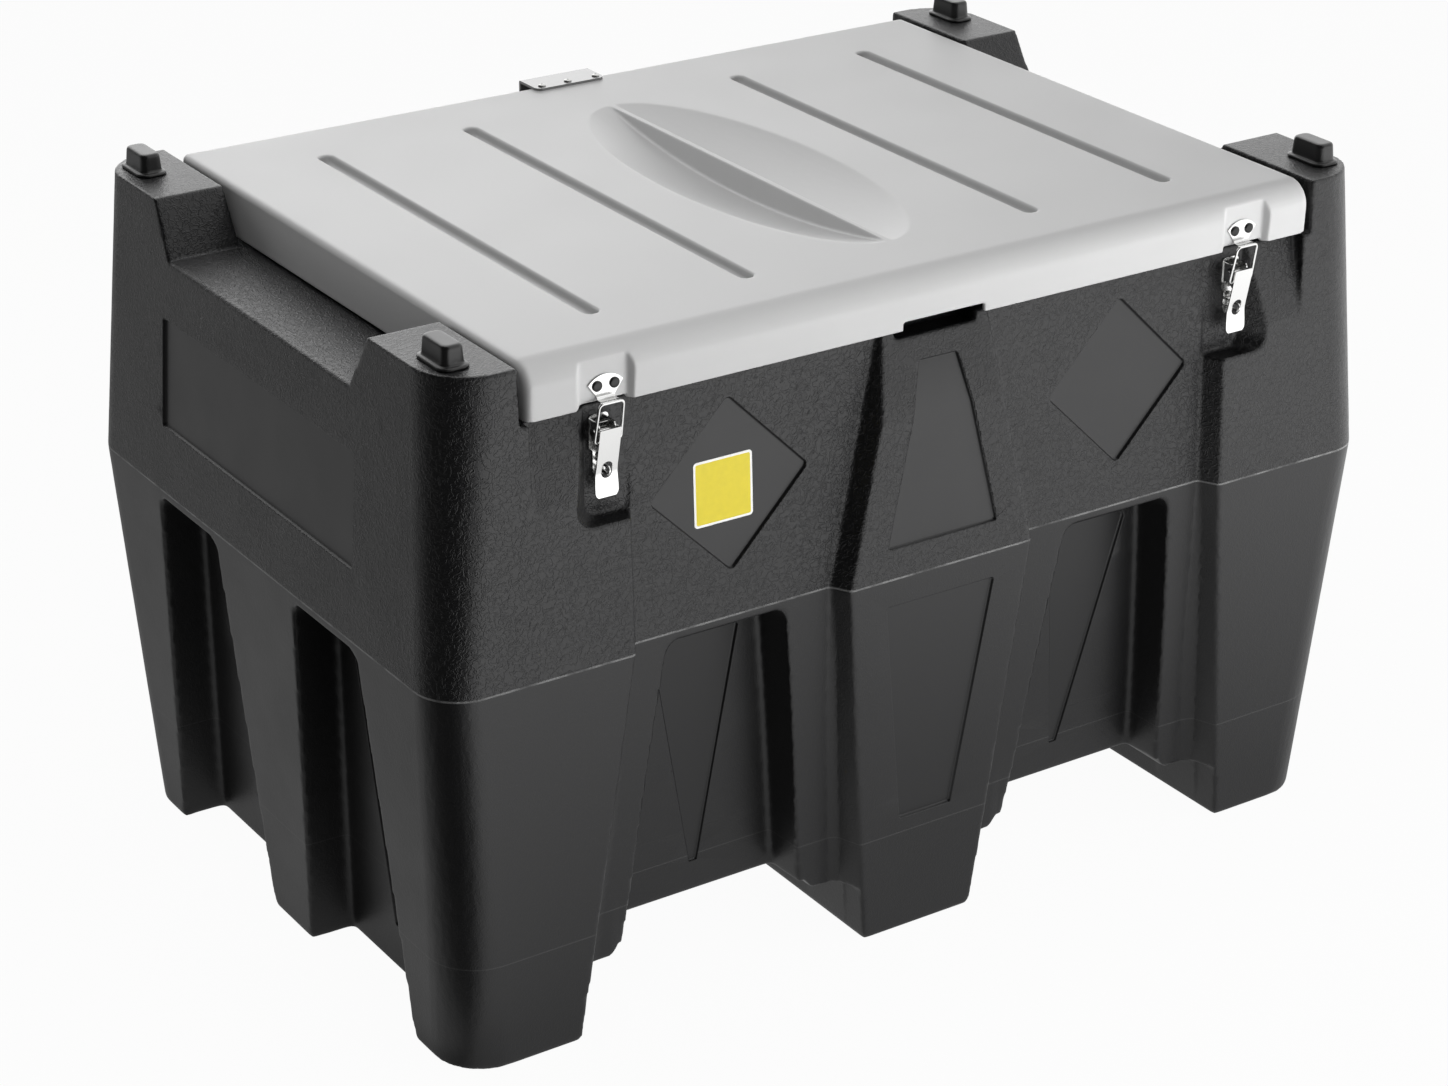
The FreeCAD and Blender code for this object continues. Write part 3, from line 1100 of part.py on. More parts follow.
def make_vent_body():
    """Breather stem through the well floor, with a collar."""
    x, y, floor = VENT_X, VENT_Y, WELL_FLOOR_Z
    stem = rod(VENT_STEM_R, (x, y, floor - 2 * WALL), (x, y, floor + 24.0))
    collar = rod(15.0, (x, y, floor), (x, y, floor + 6.0))
    bore = rod(4.0, (x, y, floor - 3 * WALL), (x, y, floor + 22.0))
    port = rod(2.5, (x - 2 * VENT_STEM_R, y, floor + 18.0), (x + 2 * VENT_STEM_R, y, floor + 18.0))
    return stem.fuse(collar).cut([bore, port])


def make_vent_cap():
    """Mushroom cap over the breather, open underneath."""
    x, y, low = VENT_X, VENT_Y, WELL_FLOOR_Z + 14.0
    cap = rod(20.0, (x, y, low), (x, y, low + 18.0))
    rim = [e for e in cap.Edges if e.Closed and e.CenterOfMass.z > low + 17.0]
    hollow = tube(17.0, VENT_STEM_R + 2.5, (x, y, low - 1.0), (x, y, low + 12.0))
    socket = rod(VENT_STEM_R, (x, y, low - 1.0), (x, y, WELL_FLOOR_Z + 24.0))
    return cap.makeFillet(6.0, rim).cut([hollow, socket])


def make_gauge_body():
    """Level gauge: flange, dial housing, and a stem down into the tank ending in a fork."""
    x, y, floor = GAUGE_X, GAUGE_Y, WELL_FLOOR_Z
    top = floor + GAUGE_BODY_HEIGHT
    body = rod(GAUGE_R, (x, y, floor), (x, y, floor + GAUGE_FLANGE_T))
    body = body.fuse(rod(GAUGE_DIAL_R + 4.0, (x, y, floor), (x, y, top)))
    body = body.cut(rod(GAUGE_DIAL_R, (x, y, top - GAUGE_RECESS), (x, y, top + 1.0)))
    body = body.fuse(rod(1.5, (x, y, top - GAUGE_RECESS), (x, y, top - GAUGE_RECESS + 4.0)))
    stem = rod(GAUGE_STEM_R, (x, y, GAUGE_PIVOT_Z - 10.0), (x, y, floor))
    fork = slab(x - FORK_HALF, x + FORK_HALF, y - 2 * GAUGE_STEM_R, y + 2 * GAUGE_STEM_R,
                GAUGE_PIVOT_Z - 11.0, GAUGE_PIVOT_Z + FORK_HEIGHT)
    body = body.fuse(stem.cut(fork))
    pin = rod(FLOAT_PIN_R, (x - GAUGE_STEM_R + 2.0, y, GAUGE_PIVOT_Z), (x + GAUGE_STEM_R - 2.0, y, GAUGE_PIVOT_Z))
    holes = upright_holes(gauge_places(), SCREW_R + SCREW_GAP, floor - 1.0, floor + 2 * GAUGE_FLANGE_T)
    return body.fuse(pin).cut(holes)


def make_gauge_needle():
    """Needle on the dial's centre post."""
    x, y = GAUGE_X, GAUGE_Y
    z = WELL_FLOOR_Z + GAUGE_BODY_HEIGHT - GAUGE_RECESS + 2.0
    points = [(x - 7.0, y - 2.0), (x + 26.0, y - 0.6), (x + 26.0, y + 0.6), (x - 7.0, y + 2.0)]
    needle = prism(points, lambda u, v: V(u, v, z), V(0, 0, 1.2))
    needle = needle.fuse(rod(4.0, (x, y, z), (x, y, z + 1.6)))
    return needle.cut(rod(1.5 + PIN_CLEARANCE, (x, y, z - 1.0), (x, y, z + 5.0)))


def make_gauge_lens():
    """Clear disc over the dial."""
    top = WELL_FLOOR_Z + GAUGE_BODY_HEIGHT
    return rod(GAUGE_DIAL_R + 3.0, (GAUGE_X, GAUGE_Y, top), (GAUGE_X, GAUGE_Y, top + 2.0))


def arm_point(distance, rise=0.0):
    """Point along the float arm at rest, which slopes down towards +Y."""
    angle = math.radians(FLOAT_ARM_REST)
    return (GAUGE_X, GAUGE_Y + distance * math.cos(angle) + rise * math.sin(angle),
            GAUGE_PIVOT_Z - distance * math.sin(angle) + rise * math.cos(angle))


def make_float_arm():
    """Bent wire arm of the level gauge with its hub on the fork's pin."""
    x = GAUGE_X
    hub = rod(5.0, (x - FORK_HALF + 0.5, GAUGE_Y, GAUGE_PIVOT_Z), (x + FORK_HALF - 0.5, GAUGE_Y, GAUGE_PIVOT_Z))
    arm = hub.fuse(rod(2.0, arm_point(0.0), arm_point(FLOAT_ARM)))
    return arm.cut(rod(FLOAT_PIN_R + PIN_CLEARANCE, (x - 20.0, GAUGE_Y, GAUGE_PIVOT_Z),
                       (x + 20.0, GAUGE_Y, GAUGE_PIVOT_Z)))


def make_gauge_float():
    """Foam float on the end of the arm."""
    centre = V(*arm_point(FLOAT_ARM))
    body = rod(FLOAT_R, (centre.x - 25.0, centre.y, centre.z), (centre.x + 25.0, centre.y, centre.z))
    body = body.makeFillet(6.0, [e for e in body.Edges if e.Closed])
    return body.cut(rod(2.0, arm_point(0.0), arm_point(FLOAT_ARM)))


def make_nozzle_holder():
    """Upright tube on a foot, for the spout of the hand nozzle."""
    x, y, floor = HOLDER_X, HOLDER_Y, WELL_FLOOR_Z
    body = rod(HOLDER_R, (x, y, floor), (x, y, floor + HOLDER_HEIGHT))
    body = body.fuse(rod(HOLDER_FOOT_R, (x, y, floor), (x, y, floor + HOLDER_FOOT_T)))
    bore = rod(HOLDER_BORE_R, (x, y, floor + HOLDER_FOOT_T), (x, y, floor + HOLDER_HEIGHT + 1.0))
    holes = upright_holes(holder_places(), SCREW_R + SCREW_GAP, floor - 1.0, floor + 2 * HOLDER_FOOT_T)
    return body.cut([bore] + holes)


# Pump

def make_suction_flange():
    """Flange on the well floor that carries the suction pipe."""
    x, y, floor = PUMP_X, PUMP_Y, WELL_FLOOR_Z
    flange = tube(SUCTION_FLANGE_R, PIPE_R, (x, y, floor), (x, y, floor + SUCTION_FLANGE_T))
    holes = upright_holes(suction_places(), SCREW_R + SCREW_GAP, floor - 1.0, floor + 2 * SUCTION_FLANGE_T)
    return flange.cut(holes)


def make_suction_pipe():
    """Pipe from the pump's inlet down to just above the tank's bottom."""
    return tube(PIPE_R, PIPE_BORE_R, (PUMP_X, PUMP_Y, PIPE_END_Z), (PUMP_X, PUMP_Y, PUMP_AXIS_Z - PUMP_HEAD_R - 8.0))


def make_foot_strainer():
    """Slotted strainer cup on the pipe's lower end."""
    x, y = PUMP_X, PUMP_Y
    low, high = PIPE_END_Z - 22.0, PIPE_END_Z + 24.0
    cup = rod(STRAINER_R, (x, y, low), (x, y, high))
    cup = cup.cut([rod(STRAINER_R - 3.0, (x, y, low + 3.0), (x, y, PIPE_END_Z)),
                   rod(PIPE_R, (x, y, PIPE_END_Z - 1.0), (x, y, high + 1.0))])
    slots = []
    for i in range(8):
        slot = slab(0.0, STRAINER_R + 5.0, -2.5, 2.5, low + 6.0, PIPE_END_Z - 4.0)
        slot.rotate(V(0, 0, 0), V(0, 0, 1), 45.0 * i)
        slot.translate(V(x, y, 0))
        slots.append(slot)
    return cup.cut(slots)


def make_pump_bracket():
    """Folded bracket: floor plate round the suction flange and two upright ears."""
    x, y, floor = PUMP_X, PUMP_Y, WELL_FLOOR_Z
    plate = slab(x - BRACKET_X, x + BRACKET_X, y - BRACKET_Y, y + BRACKET_Y, floor, floor + BRACKET_T)
    plate = plate.cut(rod(SUCTION_FLANGE_R + 1.0, (x, y, floor - 1.0), (x, y, floor + 10.0)))
    ears = []
    half = PUMP_HEAD_LENGTH / 2
    for side in (-1, 1):
        face_y = y + side * BRACKET_EAR_Y
        points = [(x - half, floor + BRACKET_T / 2), (x + half, floor + BRACKET_T / 2),
                  (x + half, PUMP_AXIS_Z + 16.0), (x - half, PUMP_AXIS_Z + 16.0)]
        ear = Part.Face(rounded_wire(points, [0.0, 0.0, 8.0, 8.0], lambda u, v: V(u, face_y, v)))
        ears.append(ear.extrude(V(0, side * BRACKET_T, 0)))
    holes = upright_holes(bracket_places(), BOLT_R + SCREW_GAP, floor - 1.0, floor + 2 * BRACKET_T)
    return plate.fuse(ears).cut(holes)


def make_pump_head():
    """Cast pump body with inlet and outlet bosses and two side lugs."""
    x, y, z = PUMP_X, PUMP_Y, PUMP_AXIS_Z
    half = PUMP_HEAD_LENGTH / 2
    body = rod(PUMP_HEAD_R, (x - half, y, z), (x + half, y, z))
    inlet = rod(22.0, (x, y, z - PUMP_HEAD_R - 8.0), (x, y, z))
    outlet = rod(20.0, (x, y, z), (x, y, z + PUMP_HEAD_R + 6.0))
    lugs = slab(x - 14.0, x + 14.0, y - BRACKET_EAR_Y, y + BRACKET_EAR_Y, z - 12.0, z + 12.0)
    body = body.fuse([inlet, outlet, lugs])
    port = rod(PIPE_BORE_R, (x, y, z - PUMP_HEAD_R - 9.0), (x, y, z - 30.0))
    return body.cut([port, rod(SPIGOT_R, (x, y, z + 30.0), (x, y, z + PUMP_HEAD_R + 7.0))])


def make_pump_cover():
    """Round cover on the pump's outer face."""
    x = PUMP_X - PUMP_HEAD_LENGTH / 2
    cover = rod(PUMP_HEAD_R, (x, PUMP_Y, PUMP_AXIS_Z), (x - PUMP_COVER_T, PUMP_Y, PUMP_AXIS_Z))
    rim = [e for e in cover.Edges if e.Closed and e.CenterOfMass.x < x - PUMP_COVER_T + 0.01]
    boss = rod(18.0, (x, PUMP_Y, PUMP_AXIS_Z), (x - PUMP_COVER_T - 8.0, PUMP_Y, PUMP_AXIS_Z))
    return cover.makeFillet(3.0, rim).fuse(boss)


def make_cover_screws():
    """Six screw heads on the pump cover."""
    x = PUMP_X - PUMP_HEAD_LENGTH / 2 - PUMP_COVER_T
    turns = [math.pi * i / 3 for i in range(6)]
    places = [(PUMP_Y + 38.0 * math.cos(t), PUMP_AXIS_Z + 38.0 * math.sin(t)) for t in turns]
    return [rod(SCREW_HEAD_R, (x, y, z), (x - 4.0, y, z)) for y, z in places]


def make_motor_can():
    """Round motor housing with two shallow bands."""
    x = PUMP_X + PUMP_HEAD_LENGTH / 2
    can = rod(MOTOR_R, (x, PUMP_Y, PUMP_AXIS_Z), (x + MOTOR_LENGTH, PUMP_Y, PUMP_AXIS_Z))
    bands = [tube(MOTOR_R + 1.0, MOTOR_R - 1.2, (x + at, PUMP_Y, PUMP_AXIS_Z), (x + at + 4.0, PUMP_Y, PUMP_AXIS_Z))
             for at in (10.0, MOTOR_LENGTH - 14.0)]
    return can.cut(bands)


def make_motor_cap():
    """Domed end cap of the motor."""
    x = PUMP_X + PUMP_HEAD_LENGTH / 2 + MOTOR_LENGTH
    cap = rod(MOTOR_R, (x, PUMP_Y, PUMP_AXIS_Z), (x + MOTOR_CAP_T, PUMP_Y, PUMP_AXIS_Z))
    rim = [e for e in cap.Edges if e.Closed and e.CenterOfMass.x > x + MOTOR_CAP_T - 0.01]
    return cap.makeFillet(8.0, rim)


def box_centre_x():
    """Middle of the switch box along the motor."""
    return PUMP_X + PUMP_HEAD_LENGTH / 2 + MOTOR_LENGTH / 2


def make_switch_box():
    """Terminal box saddled on the motor, with a well for the rocker switch."""
    x, y, low = box_centre_x(), PUMP_Y, PUMP_AXIS_Z + 25.0
    points = [(x - SWITCH_BOX_X, y - SWITCH_BOX_Y), (x + SWITCH_BOX_X, y - SWITCH_BOX_Y),
              (x + SWITCH_BOX_X, y + SWITCH_BOX_Y), (x - SWITCH_BOX_X, y + SWITCH_BOX_Y)]
    box = Part.Face(rounded_wire(points, [6.0] * 4, lambda u, v: V(u, v, low))).extrude(V(0, 0, SWITCH_BOX_TOP - low))
    box = box.cut(rod(MOTOR_R, (x - 60.0, y, PUMP_AXIS_Z), (x + 60.0, y, PUMP_AXIS_Z)))
    recess = slab(x - ROCKER_X - ROCKER_GAP, x + ROCKER_X + ROCKER_GAP, y - ROCKER_Y - ROCKER_GAP,
                  y + ROCKER_Y + ROCKER_GAP, SWITCH_BOX_TOP - 12.0, SWITCH_BOX_TOP + 1.0)
    pin = rod(1.5, (x, y - ROCKER_Y - 2.0, ROCKER_PIVOT_Z), (x, y + ROCKER_Y + 2.0, ROCKER_PIVOT_Z))
    gland_y = y - SWITCH_BOX_Y
    port = rod(GLAND_THREAD_R, (x, gland_y - 1.0, GLAND_Z), (x, gland_y + 9.0, GLAND_Z))
    return box.cut([recess, port]).fuse(pin)


def make_pump_switch():
    """Rocker of the pump's on-off switch."""
    x, y = box_centre_x(), PUMP_Y
    points = [(x - ROCKER_X, SWITCH_BOX_TOP + 4.0), (x - ROCKER_X, ROCKER_PIVOT_Z - 1.0), (x - 3.5, ROCKER_PIVOT_Z - 3.5),
              (x + 3.5, ROCKER_PIVOT_Z - 3.5), (x + ROCKER_X, ROCKER_PIVOT_Z - 1.0), (x + ROCKER_X, SWITCH_BOX_TOP + 4.0),
              (x, SWITCH_BOX_TOP + 2.0)]
    rocker = prism(points, lambda u, v: V(u, y - ROCKER_Y, v), V(0, 2 * ROCKER_Y, 0))
    rocker.rotate(V(x, y, ROCKER_PIVOT_Z), V(0, 1, 0), -ROCKER_TILT)
    return rocker.cut(rod(1.5 + PIN_CLEARANCE, (x, y - 20.0, ROCKER_PIVOT_Z), (x, y + 20.0, ROCKER_PIVOT_Z)))


def make_cable_gland():
    """Cable inlet on the switch box: thread, hexagon and domed nut."""
    x, y, z = box_centre_x(), PUMP_Y - SWITCH_BOX_Y, GLAND_Z
    thread = rod(GLAND_THREAD_R, (x, y, z), (x, y + 8.0, z))
    corners = [V(x + 10.0 * math.cos(math.pi * i / 3), y, z + 10.0 * math.sin(math.pi * i / 3)) for i in range(7)]
    nut = Part.Face(Part.makePolygon(corners)).extrude(V(0, -8.0, 0))
    dome = Part.makeCone(8.5, 5.5, 9.0, V(x, y - 8.0, z), V(0, -1, 0))
    return thread.fuse([nut, dome]).cut(rod(3.5, (x, y - 20.0, z), (x, y + 10.0, z)))


def make_outlet_spigot():
    """Barbed hose tail on the pump's outlet."""
    x, y = PUMP_X, PUMP_Y
    seat = PUMP_AXIS_Z + PUMP_HEAD_R + 6.0
    tail = rod(SPIGOT_R, (x, y, PUMP_AXIS_Z + 32.0), (x, y, seat))
    tail = tail.fuse(rod(15.0, (x, y, seat), (x, y, seat + 6.0)))
    for i in range(3):
        tail = tail.fuse(Part.makeCone(11.5, 10.0, 7.0, V(x, y, seat + 6.0 + 7.0 * i), V(0, 0, 1)))
    return tail.cut(rod(7.5, (x, y, PUMP_AXIS_Z + 31.0), (x, y, seat + 30.0)))


def make_bypass_cap():
    """Hexagon cap of the bypass valve, on the upper rear of the pump body."""
    x, y, z = PUMP_X, PUMP_Y, PUMP_AXIS_Z
    way = V(0, math.sqrt(0.5), math.sqrt(0.5))
    start = V(x, y, z) + way * (PUMP_HEAD_R - 1.0)
    boss = Part.makeCylinder(14.0, 6.0, start, way)
    boss = boss.cut(rod(PUMP_HEAD_R, (x - 40.0, y, z), (x + 40.0, y, z)))
    side, up = V(1, 0, 0), V(0, -math.sqrt(0.5), math.sqrt(0.5))
    base = start + way * 5.0
    corners = [base + side * (11.0 * math.cos(math.pi * i / 3)) + up * (11.0 * math.sin(math.pi * i / 3))
               for i in range(7)]
    return boss.fuse(Part.Face(Part.makePolygon(corners)).extrude(way * 10.0))


def both_sides(name, shape):
    """Save a left piece and its mirror copy as two nodes."""
    save(name + "_left", shape)
    save(name + "_right", mirror_x(shape))


def main():
    """Build every node."""
    save("tank_shell", make_tank_shell())
    save("stacking_buffers", four_way(stacking_buffer()))
    save("lid", make_lid())
    save("lid_seal", make_lid_seal())
    save("hinge_lid_leaf", make_hinge_lid_leaf())
    save("hinge_body_leaf", make_hinge_body_leaf())
    save("hinge_pin", make_hinge_pin())
    save("hinge_lid_screws", [pan_screw(x, HINGE_SCREW_Y, LID_TOP_Z + HINGE_SHEET, 12.0) for x in HINGE_SCREWS_X])
    depth = HINGE_SHEET + WALL - HOLE_END - HOLE_SPARE
    save("hinge_body_screws", [pan_screw(x, BODY_SCREW_Y, RIM_Z + HINGE_SHEET, depth, BODY_SCREW_HEAD_R)
                               for x in HINGE_SCREWS_X])
    both_sides("latch_base", latch_base())
    both_sides("latch_lever", latch_lever())
    both_sides("latch_pivot", latch_pivot())
    both_sides("latch_staple", latch_staple())
    both_sides("latch_bail", latch_bail())
    both_sides("latch_keeper", latch_keeper())
    keeper_face = LID_FRONT_Y + NOTCH_DEPTH - KEEPER_SHEET
    heads = [rivet(x, keeper_face, z, KEEPER_SHEET + LID_WALL, RIVET_R) for x, z in keeper_rivet_places()]
    save("keeper_rivets", heads + [mirror_x(s) for s in heads])
    base_face = POCKET_FLOOR_Y - LATCH_SHEET
    depth = LATCH_SHEET + WALL - HOLE_END - HOLE_SPARE
    heads = [rivet(-LATCH_X, base_face, z, depth, LATCH_RIVET_HEAD_R) for z in LATCH_RIVETS_Z]
    save("latch_base_rivets", heads + [mirror_x(s) for s in heads])
    save("filler_neck", make_filler_neck())
    save("filler_screws", floor_screws(filler_places(), FILLER_FLANGE_T))
    save("filler_gasket", make_filler_gasket())
    save("filler_cap", make_filler_cap())
    save("vent_body", make_vent_body())
    save("vent_cap", make_vent_cap())
    save("gauge_body", make_gauge_body())
    save("gauge_screws", floor_screws(gauge_places(), GAUGE_FLANGE_T))
    save("gauge_needle", make_gauge_needle())
    save("gauge_lens", make_gauge_lens())
    save("float_arm", make_float_arm())
    save("gauge_float", make_gauge_float())
    save("nozzle_holder", make_nozzle_holder())
    save("holder_screws", floor_screws(holder_places(), HOLDER_FOOT_T))
    save("suction_flange", make_suction_flange())
    save("suction_screws", floor_screws(suction_places(), SUCTION_FLANGE_T))
    save("suction_pipe", make_suction_pipe())
    save("foot_strainer", make_foot_strainer())
    save("pump_bracket", make_pump_bracket())
    depth = BRACKET_T + WALL - HOLE_END - HOLE_SPARE
    save("bracket_bolts", [hex_bolt(x, y, WELL_FLOOR_Z + BRACKET_T, depth) for x, y in bracket_places()])
    save("pump_head", make_pump_head())
    save("pump_cover", make_pump_cover())
    save("cover_screws", make_cover_screws())
    save("motor_can", make_motor_can())
    save("motor_cap", make_motor_cap())
    save("switch_box", make_switch_box())
    save("pump_switch", make_pump_switch())
    save("cable_gland", make_cable_gland())
    save("outlet_spigot", make_outlet_spigot())
    save("bypass_cap", make_bypass_cap())


main()
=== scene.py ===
"""Looks of a portable diesel transfer tank for a truck bed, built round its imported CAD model."""

import json
import logging
import math
from dataclasses import dataclass, field
from enum import Enum
from functools import partial
from typing import Any, Iterable, Sequence

import bmesh
import bpy
import numpy as np
from bmesh.types import BMesh, BMVert
from bpy.types import Material, Mesh, Node, NodeSocket, NodeTree, Object
from mathutils import Matrix, Vector


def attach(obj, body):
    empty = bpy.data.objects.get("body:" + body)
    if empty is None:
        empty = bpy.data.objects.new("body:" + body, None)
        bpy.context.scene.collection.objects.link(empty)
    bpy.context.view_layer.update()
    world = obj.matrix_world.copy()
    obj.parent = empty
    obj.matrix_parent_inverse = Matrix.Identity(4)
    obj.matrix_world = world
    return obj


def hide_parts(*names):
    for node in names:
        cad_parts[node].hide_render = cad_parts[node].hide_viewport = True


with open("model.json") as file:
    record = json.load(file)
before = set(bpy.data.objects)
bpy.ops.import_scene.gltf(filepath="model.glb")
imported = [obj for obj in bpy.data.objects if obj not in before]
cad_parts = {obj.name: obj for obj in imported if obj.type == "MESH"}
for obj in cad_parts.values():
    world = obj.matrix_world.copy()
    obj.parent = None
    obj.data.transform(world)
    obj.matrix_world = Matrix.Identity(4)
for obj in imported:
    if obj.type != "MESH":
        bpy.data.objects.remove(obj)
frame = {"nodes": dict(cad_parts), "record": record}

LOG = logging.getLogger("transfer_tank")
MM = 0.001
BODY_OF = {node: body for body, nodes in frame["record"]["behaviour"]["bodies"].items() for node in nodes}

Pair = tuple[float, float]
Point = tuple[float, float, float]
Colour = tuple[float, float, float, float]


# Colour and node helpers

def linear(hex_colour: str) -> Colour:
    """Turns an sRGB hex colour into linear red, green and blue with an alpha of 1."""
    parts = [int(hex_colour[i:i + 2], 16) / 255 for i in (1, 3, 5)]
    red, green, blue = (p / 12.92 if p <= 0.04045 else ((p + 0.055) / 1.055) ** 2.4 for p in parts)
    return red, green, blue, 1.0


def shade(hex_colour: str, factor: float) -> Colour:
    """Returns a colour made darker or lighter by a factor, as linear values."""
    red, green, blue, alpha = linear(hex_colour)
    return red * factor, green * factor, blue * factor, alpha


def add_node(tree: NodeTree, kind: str, inputs: dict[Any, Any] | None = None, **settings: Any) -> Node:
    """Adds one node with its settings, its input values and the links that come into it.

    Args:
        tree: The node tree that takes the node.
        kind: The node's type name.
        inputs: Socket name or index, to a value or to an output socket that is linked in.
        settings: Attributes of the node itself.

    Returns:
        The new node.
    """
    made = tree.nodes.new(kind)
    for name, value in settings.items():
        setattr(made, name, value)
    for key, value in (inputs or {}).items():
        socket = made.inputs[key]
        if isinstance(value, NodeSocket):
            tree.links.new(value, socket)
        else:
            socket.default_value = value
    return made


def lines_of_sight(tree: NodeTree) -> tuple[NodeSocket, NodeSocket]:
    """Adds what tells the camera's own rays, and rays that come off a mirror or through glass, from the rest.

    Args:
        tree: The tree that takes the nodes.

    Returns:
        A value that is 1 for the camera, and one that is 1 for mirrors and glass.
    """
    rays = add_node(tree, "ShaderNodeLightPath").outputs
    clear = add_node(tree, "ShaderNodeMath", {0: rays["Is Glossy Ray"], 1: rays["Is Transmission Ray"]},
                     operation="MAXIMUM")
    return rays["Is Camera Ray"], clear.outputs[0]


def round_about(tree: NodeTree, way: NodeSocket, stops: Sequence[Pair]) -> NodeSocket:
    """Makes a brightness that changes with the compass direction.

    Args:
        tree: The tree that takes the nodes.
        way: A direction, or a place as seen from the origin.
        stops: Degrees from the X axis, rising from -180 to 180, and the brightness there, up to 1.

    Returns:
        The brightness.
    """
    split = add_node(tree, "ShaderNodeSeparateXYZ", {"Vector": way}).outputs
    turn = add_node(tree, "ShaderNodeMath", {0: split["Y"], 1: split["X"]}, operation="ARCTAN2")
    share = add_node(tree, "ShaderNodeMapRange", {"Value": turn.outputs[0], "From Min": -math.pi,
                                                  "From Max": math.pi})
    ramp = add_node(tree, "ShaderNodeValToRGB", {"Fac": share.outputs[0]})
    points = ramp.color_ramp.elements
    while len(points) < len(stops):
        points.new(0.5)
    for point, (degrees, value) in zip(points, stops):
        point.position = (degrees + 180) / 360
        point.color = (value, value, value, 1.0)
    return ramp.outputs["Color"]


# Finishes

class Metal(Enum):
    """How a bare metal surface was worked: how far its marks are drawn out, and how much its gloss varies."""

    POLISHED = (1.0, 0.03)
    BRUSHED = (0.04, 0.12)
    ZINC = (1.0, 0.12)


@dataclass(frozen=True)
class Finish:
    """What every finish has: a name, a colour and how rough it is."""

    name: str
    colour: str
    roughness: float = 0.5

    def material(self) -> Material:
        """Makes the material: one shader, linked to the output and dressed in the way of its kind."""
        material = bpy.data.materials.new(self.name)
        material.use_nodes = True
        tree = material.node_tree
        tree.nodes.clear()
        shader = add_node(tree, "ShaderNodeBsdfPrincipled", {"Base Color": linear(self.colour),
                                                             "Roughness": self.roughness})
        output = add_node(tree, "ShaderNodeOutputMaterial", {"Surface": shader.outputs["BSDF"]})
        self.dress(tree, shader, output)
        return material

    def dress(self, tree: NodeTree, shader: Node, output: Node) -> None:
        """Adds what the finish has beyond its colour. Each kind has its own.

        Args:
            tree: The material's tree.
            shader: Its shader.
            output: Its output.
        """
        raise NotImplementedError

    def vary_gloss(self, tree: NodeTree, shader: Node, noise: NodeSocket, spread: Pair) -> None:
        """Lets the roughness follow a noise.

        Args:
            tree: The material's tree.
            shader: Its shader.
            noise: The noise, from 0 to 1.
            spread: How far the roughness goes below and above its value.
        """
        gloss = add_node(tree, "ShaderNodeMapRange", {"Value": noise, "To Min": self.roughness - spread[0],
                                                      "To Max": self.roughness + spread[1]})
        tree.links.new(gloss.outputs[0], shader.inputs["Roughness"])

    def mottled(self, tree: NodeTree, shader: Node, size_mm: float, detail: float, share: float,
                spread: Pair) -> NodeSocket:
        """Lets colour and gloss wander over the surface in soft blotches.

        Args:
            tree: The material's tree.
            shader: Its shader.
            size_mm: Size of the blotches.
            detail: How broken their edges are.
            share: How far the colour goes darker and lighter.
            spread: How far the roughness goes below and above its value.

        Returns:
            The blotched colour, already linked to the shader.
        """
        place = add_node(tree, "ShaderNodeTexCoord").outputs["Object"]
        blotch = add_node(tree, "ShaderNodeTexNoise", {"Vector": place, "Scale": 1 / (size_mm * MM),
                                                       "Detail": detail}).outputs["Fac"]
        dark, light = (shade(self.colour, 1 + way * share) for way in (-1, 1))
        tone = add_node(tree, "ShaderNodeMix", {0: blotch, 6: dark, 7: light}, data_type="RGBA").outputs[2]
        tree.links.new(tone, shader.inputs["Base Color"])
        self.vary_gloss(tree, shader, blotch, spread)
        return tone

    def grained(self, tree: NodeTree, shader: Node, size_mm: float, detail: float, strength: float,
                depth_mm: float, stretch: float = 1.0) -> NodeSocket:
        """Gives the surface a relief of fine grain.

        Args:
            tree: The material's tree.
            shader: Its shader.
            size_mm: Size of the grains.
            detail: How broken they are.
            strength: How much of the relief shows.
            depth_mm: Its depth.
            stretch: Scale along X, below 1 where the grains are drawn out along it.

        Returns:
            The grain's height, from 0 to 1.
        """
        place = add_node(tree, "ShaderNodeTexCoord").outputs["Object"]
        drawn = add_node(tree, "ShaderNodeMapping", {"Vector": place, "Scale": (stretch, 1.0, 1.0)})
        grain = add_node(tree, "ShaderNodeTexNoise", {"Vector": drawn.outputs[0], "Scale": 1 / (size_mm * MM),
                                                      "Detail": detail}).outputs["Fac"]
        bump = add_node(tree, "ShaderNodeBump", {"Height": grain, "Strength": strength,
                                                 "Distance": depth_mm * MM})
        tree.links.new(bump.outputs[0], shader.inputs["Normal"])
        return grain


@dataclass(frozen=True)
class MouldedPlastic(Finish):
    """Moulded plastic or rubber: a satin skin with a fine grain and faint blotches."""

    grain_mm: float = 1.2
    grain_depth_mm: float = 0.05
    mottle_mm: float = 60.0
    mottle: float = 0.08
    spread: Pair = (0.05, 0.05)

    def dress(self, tree: NodeTree, shader: Node, output: Node) -> None:
        """Puts the grain in the bump and the blotches in colour and gloss."""
        self.mottled(tree, shader, self.mottle_mm, 3.0, self.mottle, self.spread)
        self.grained(tree, shader, self.grain_mm, 2.0, 0.5, self.grain_depth_mm)


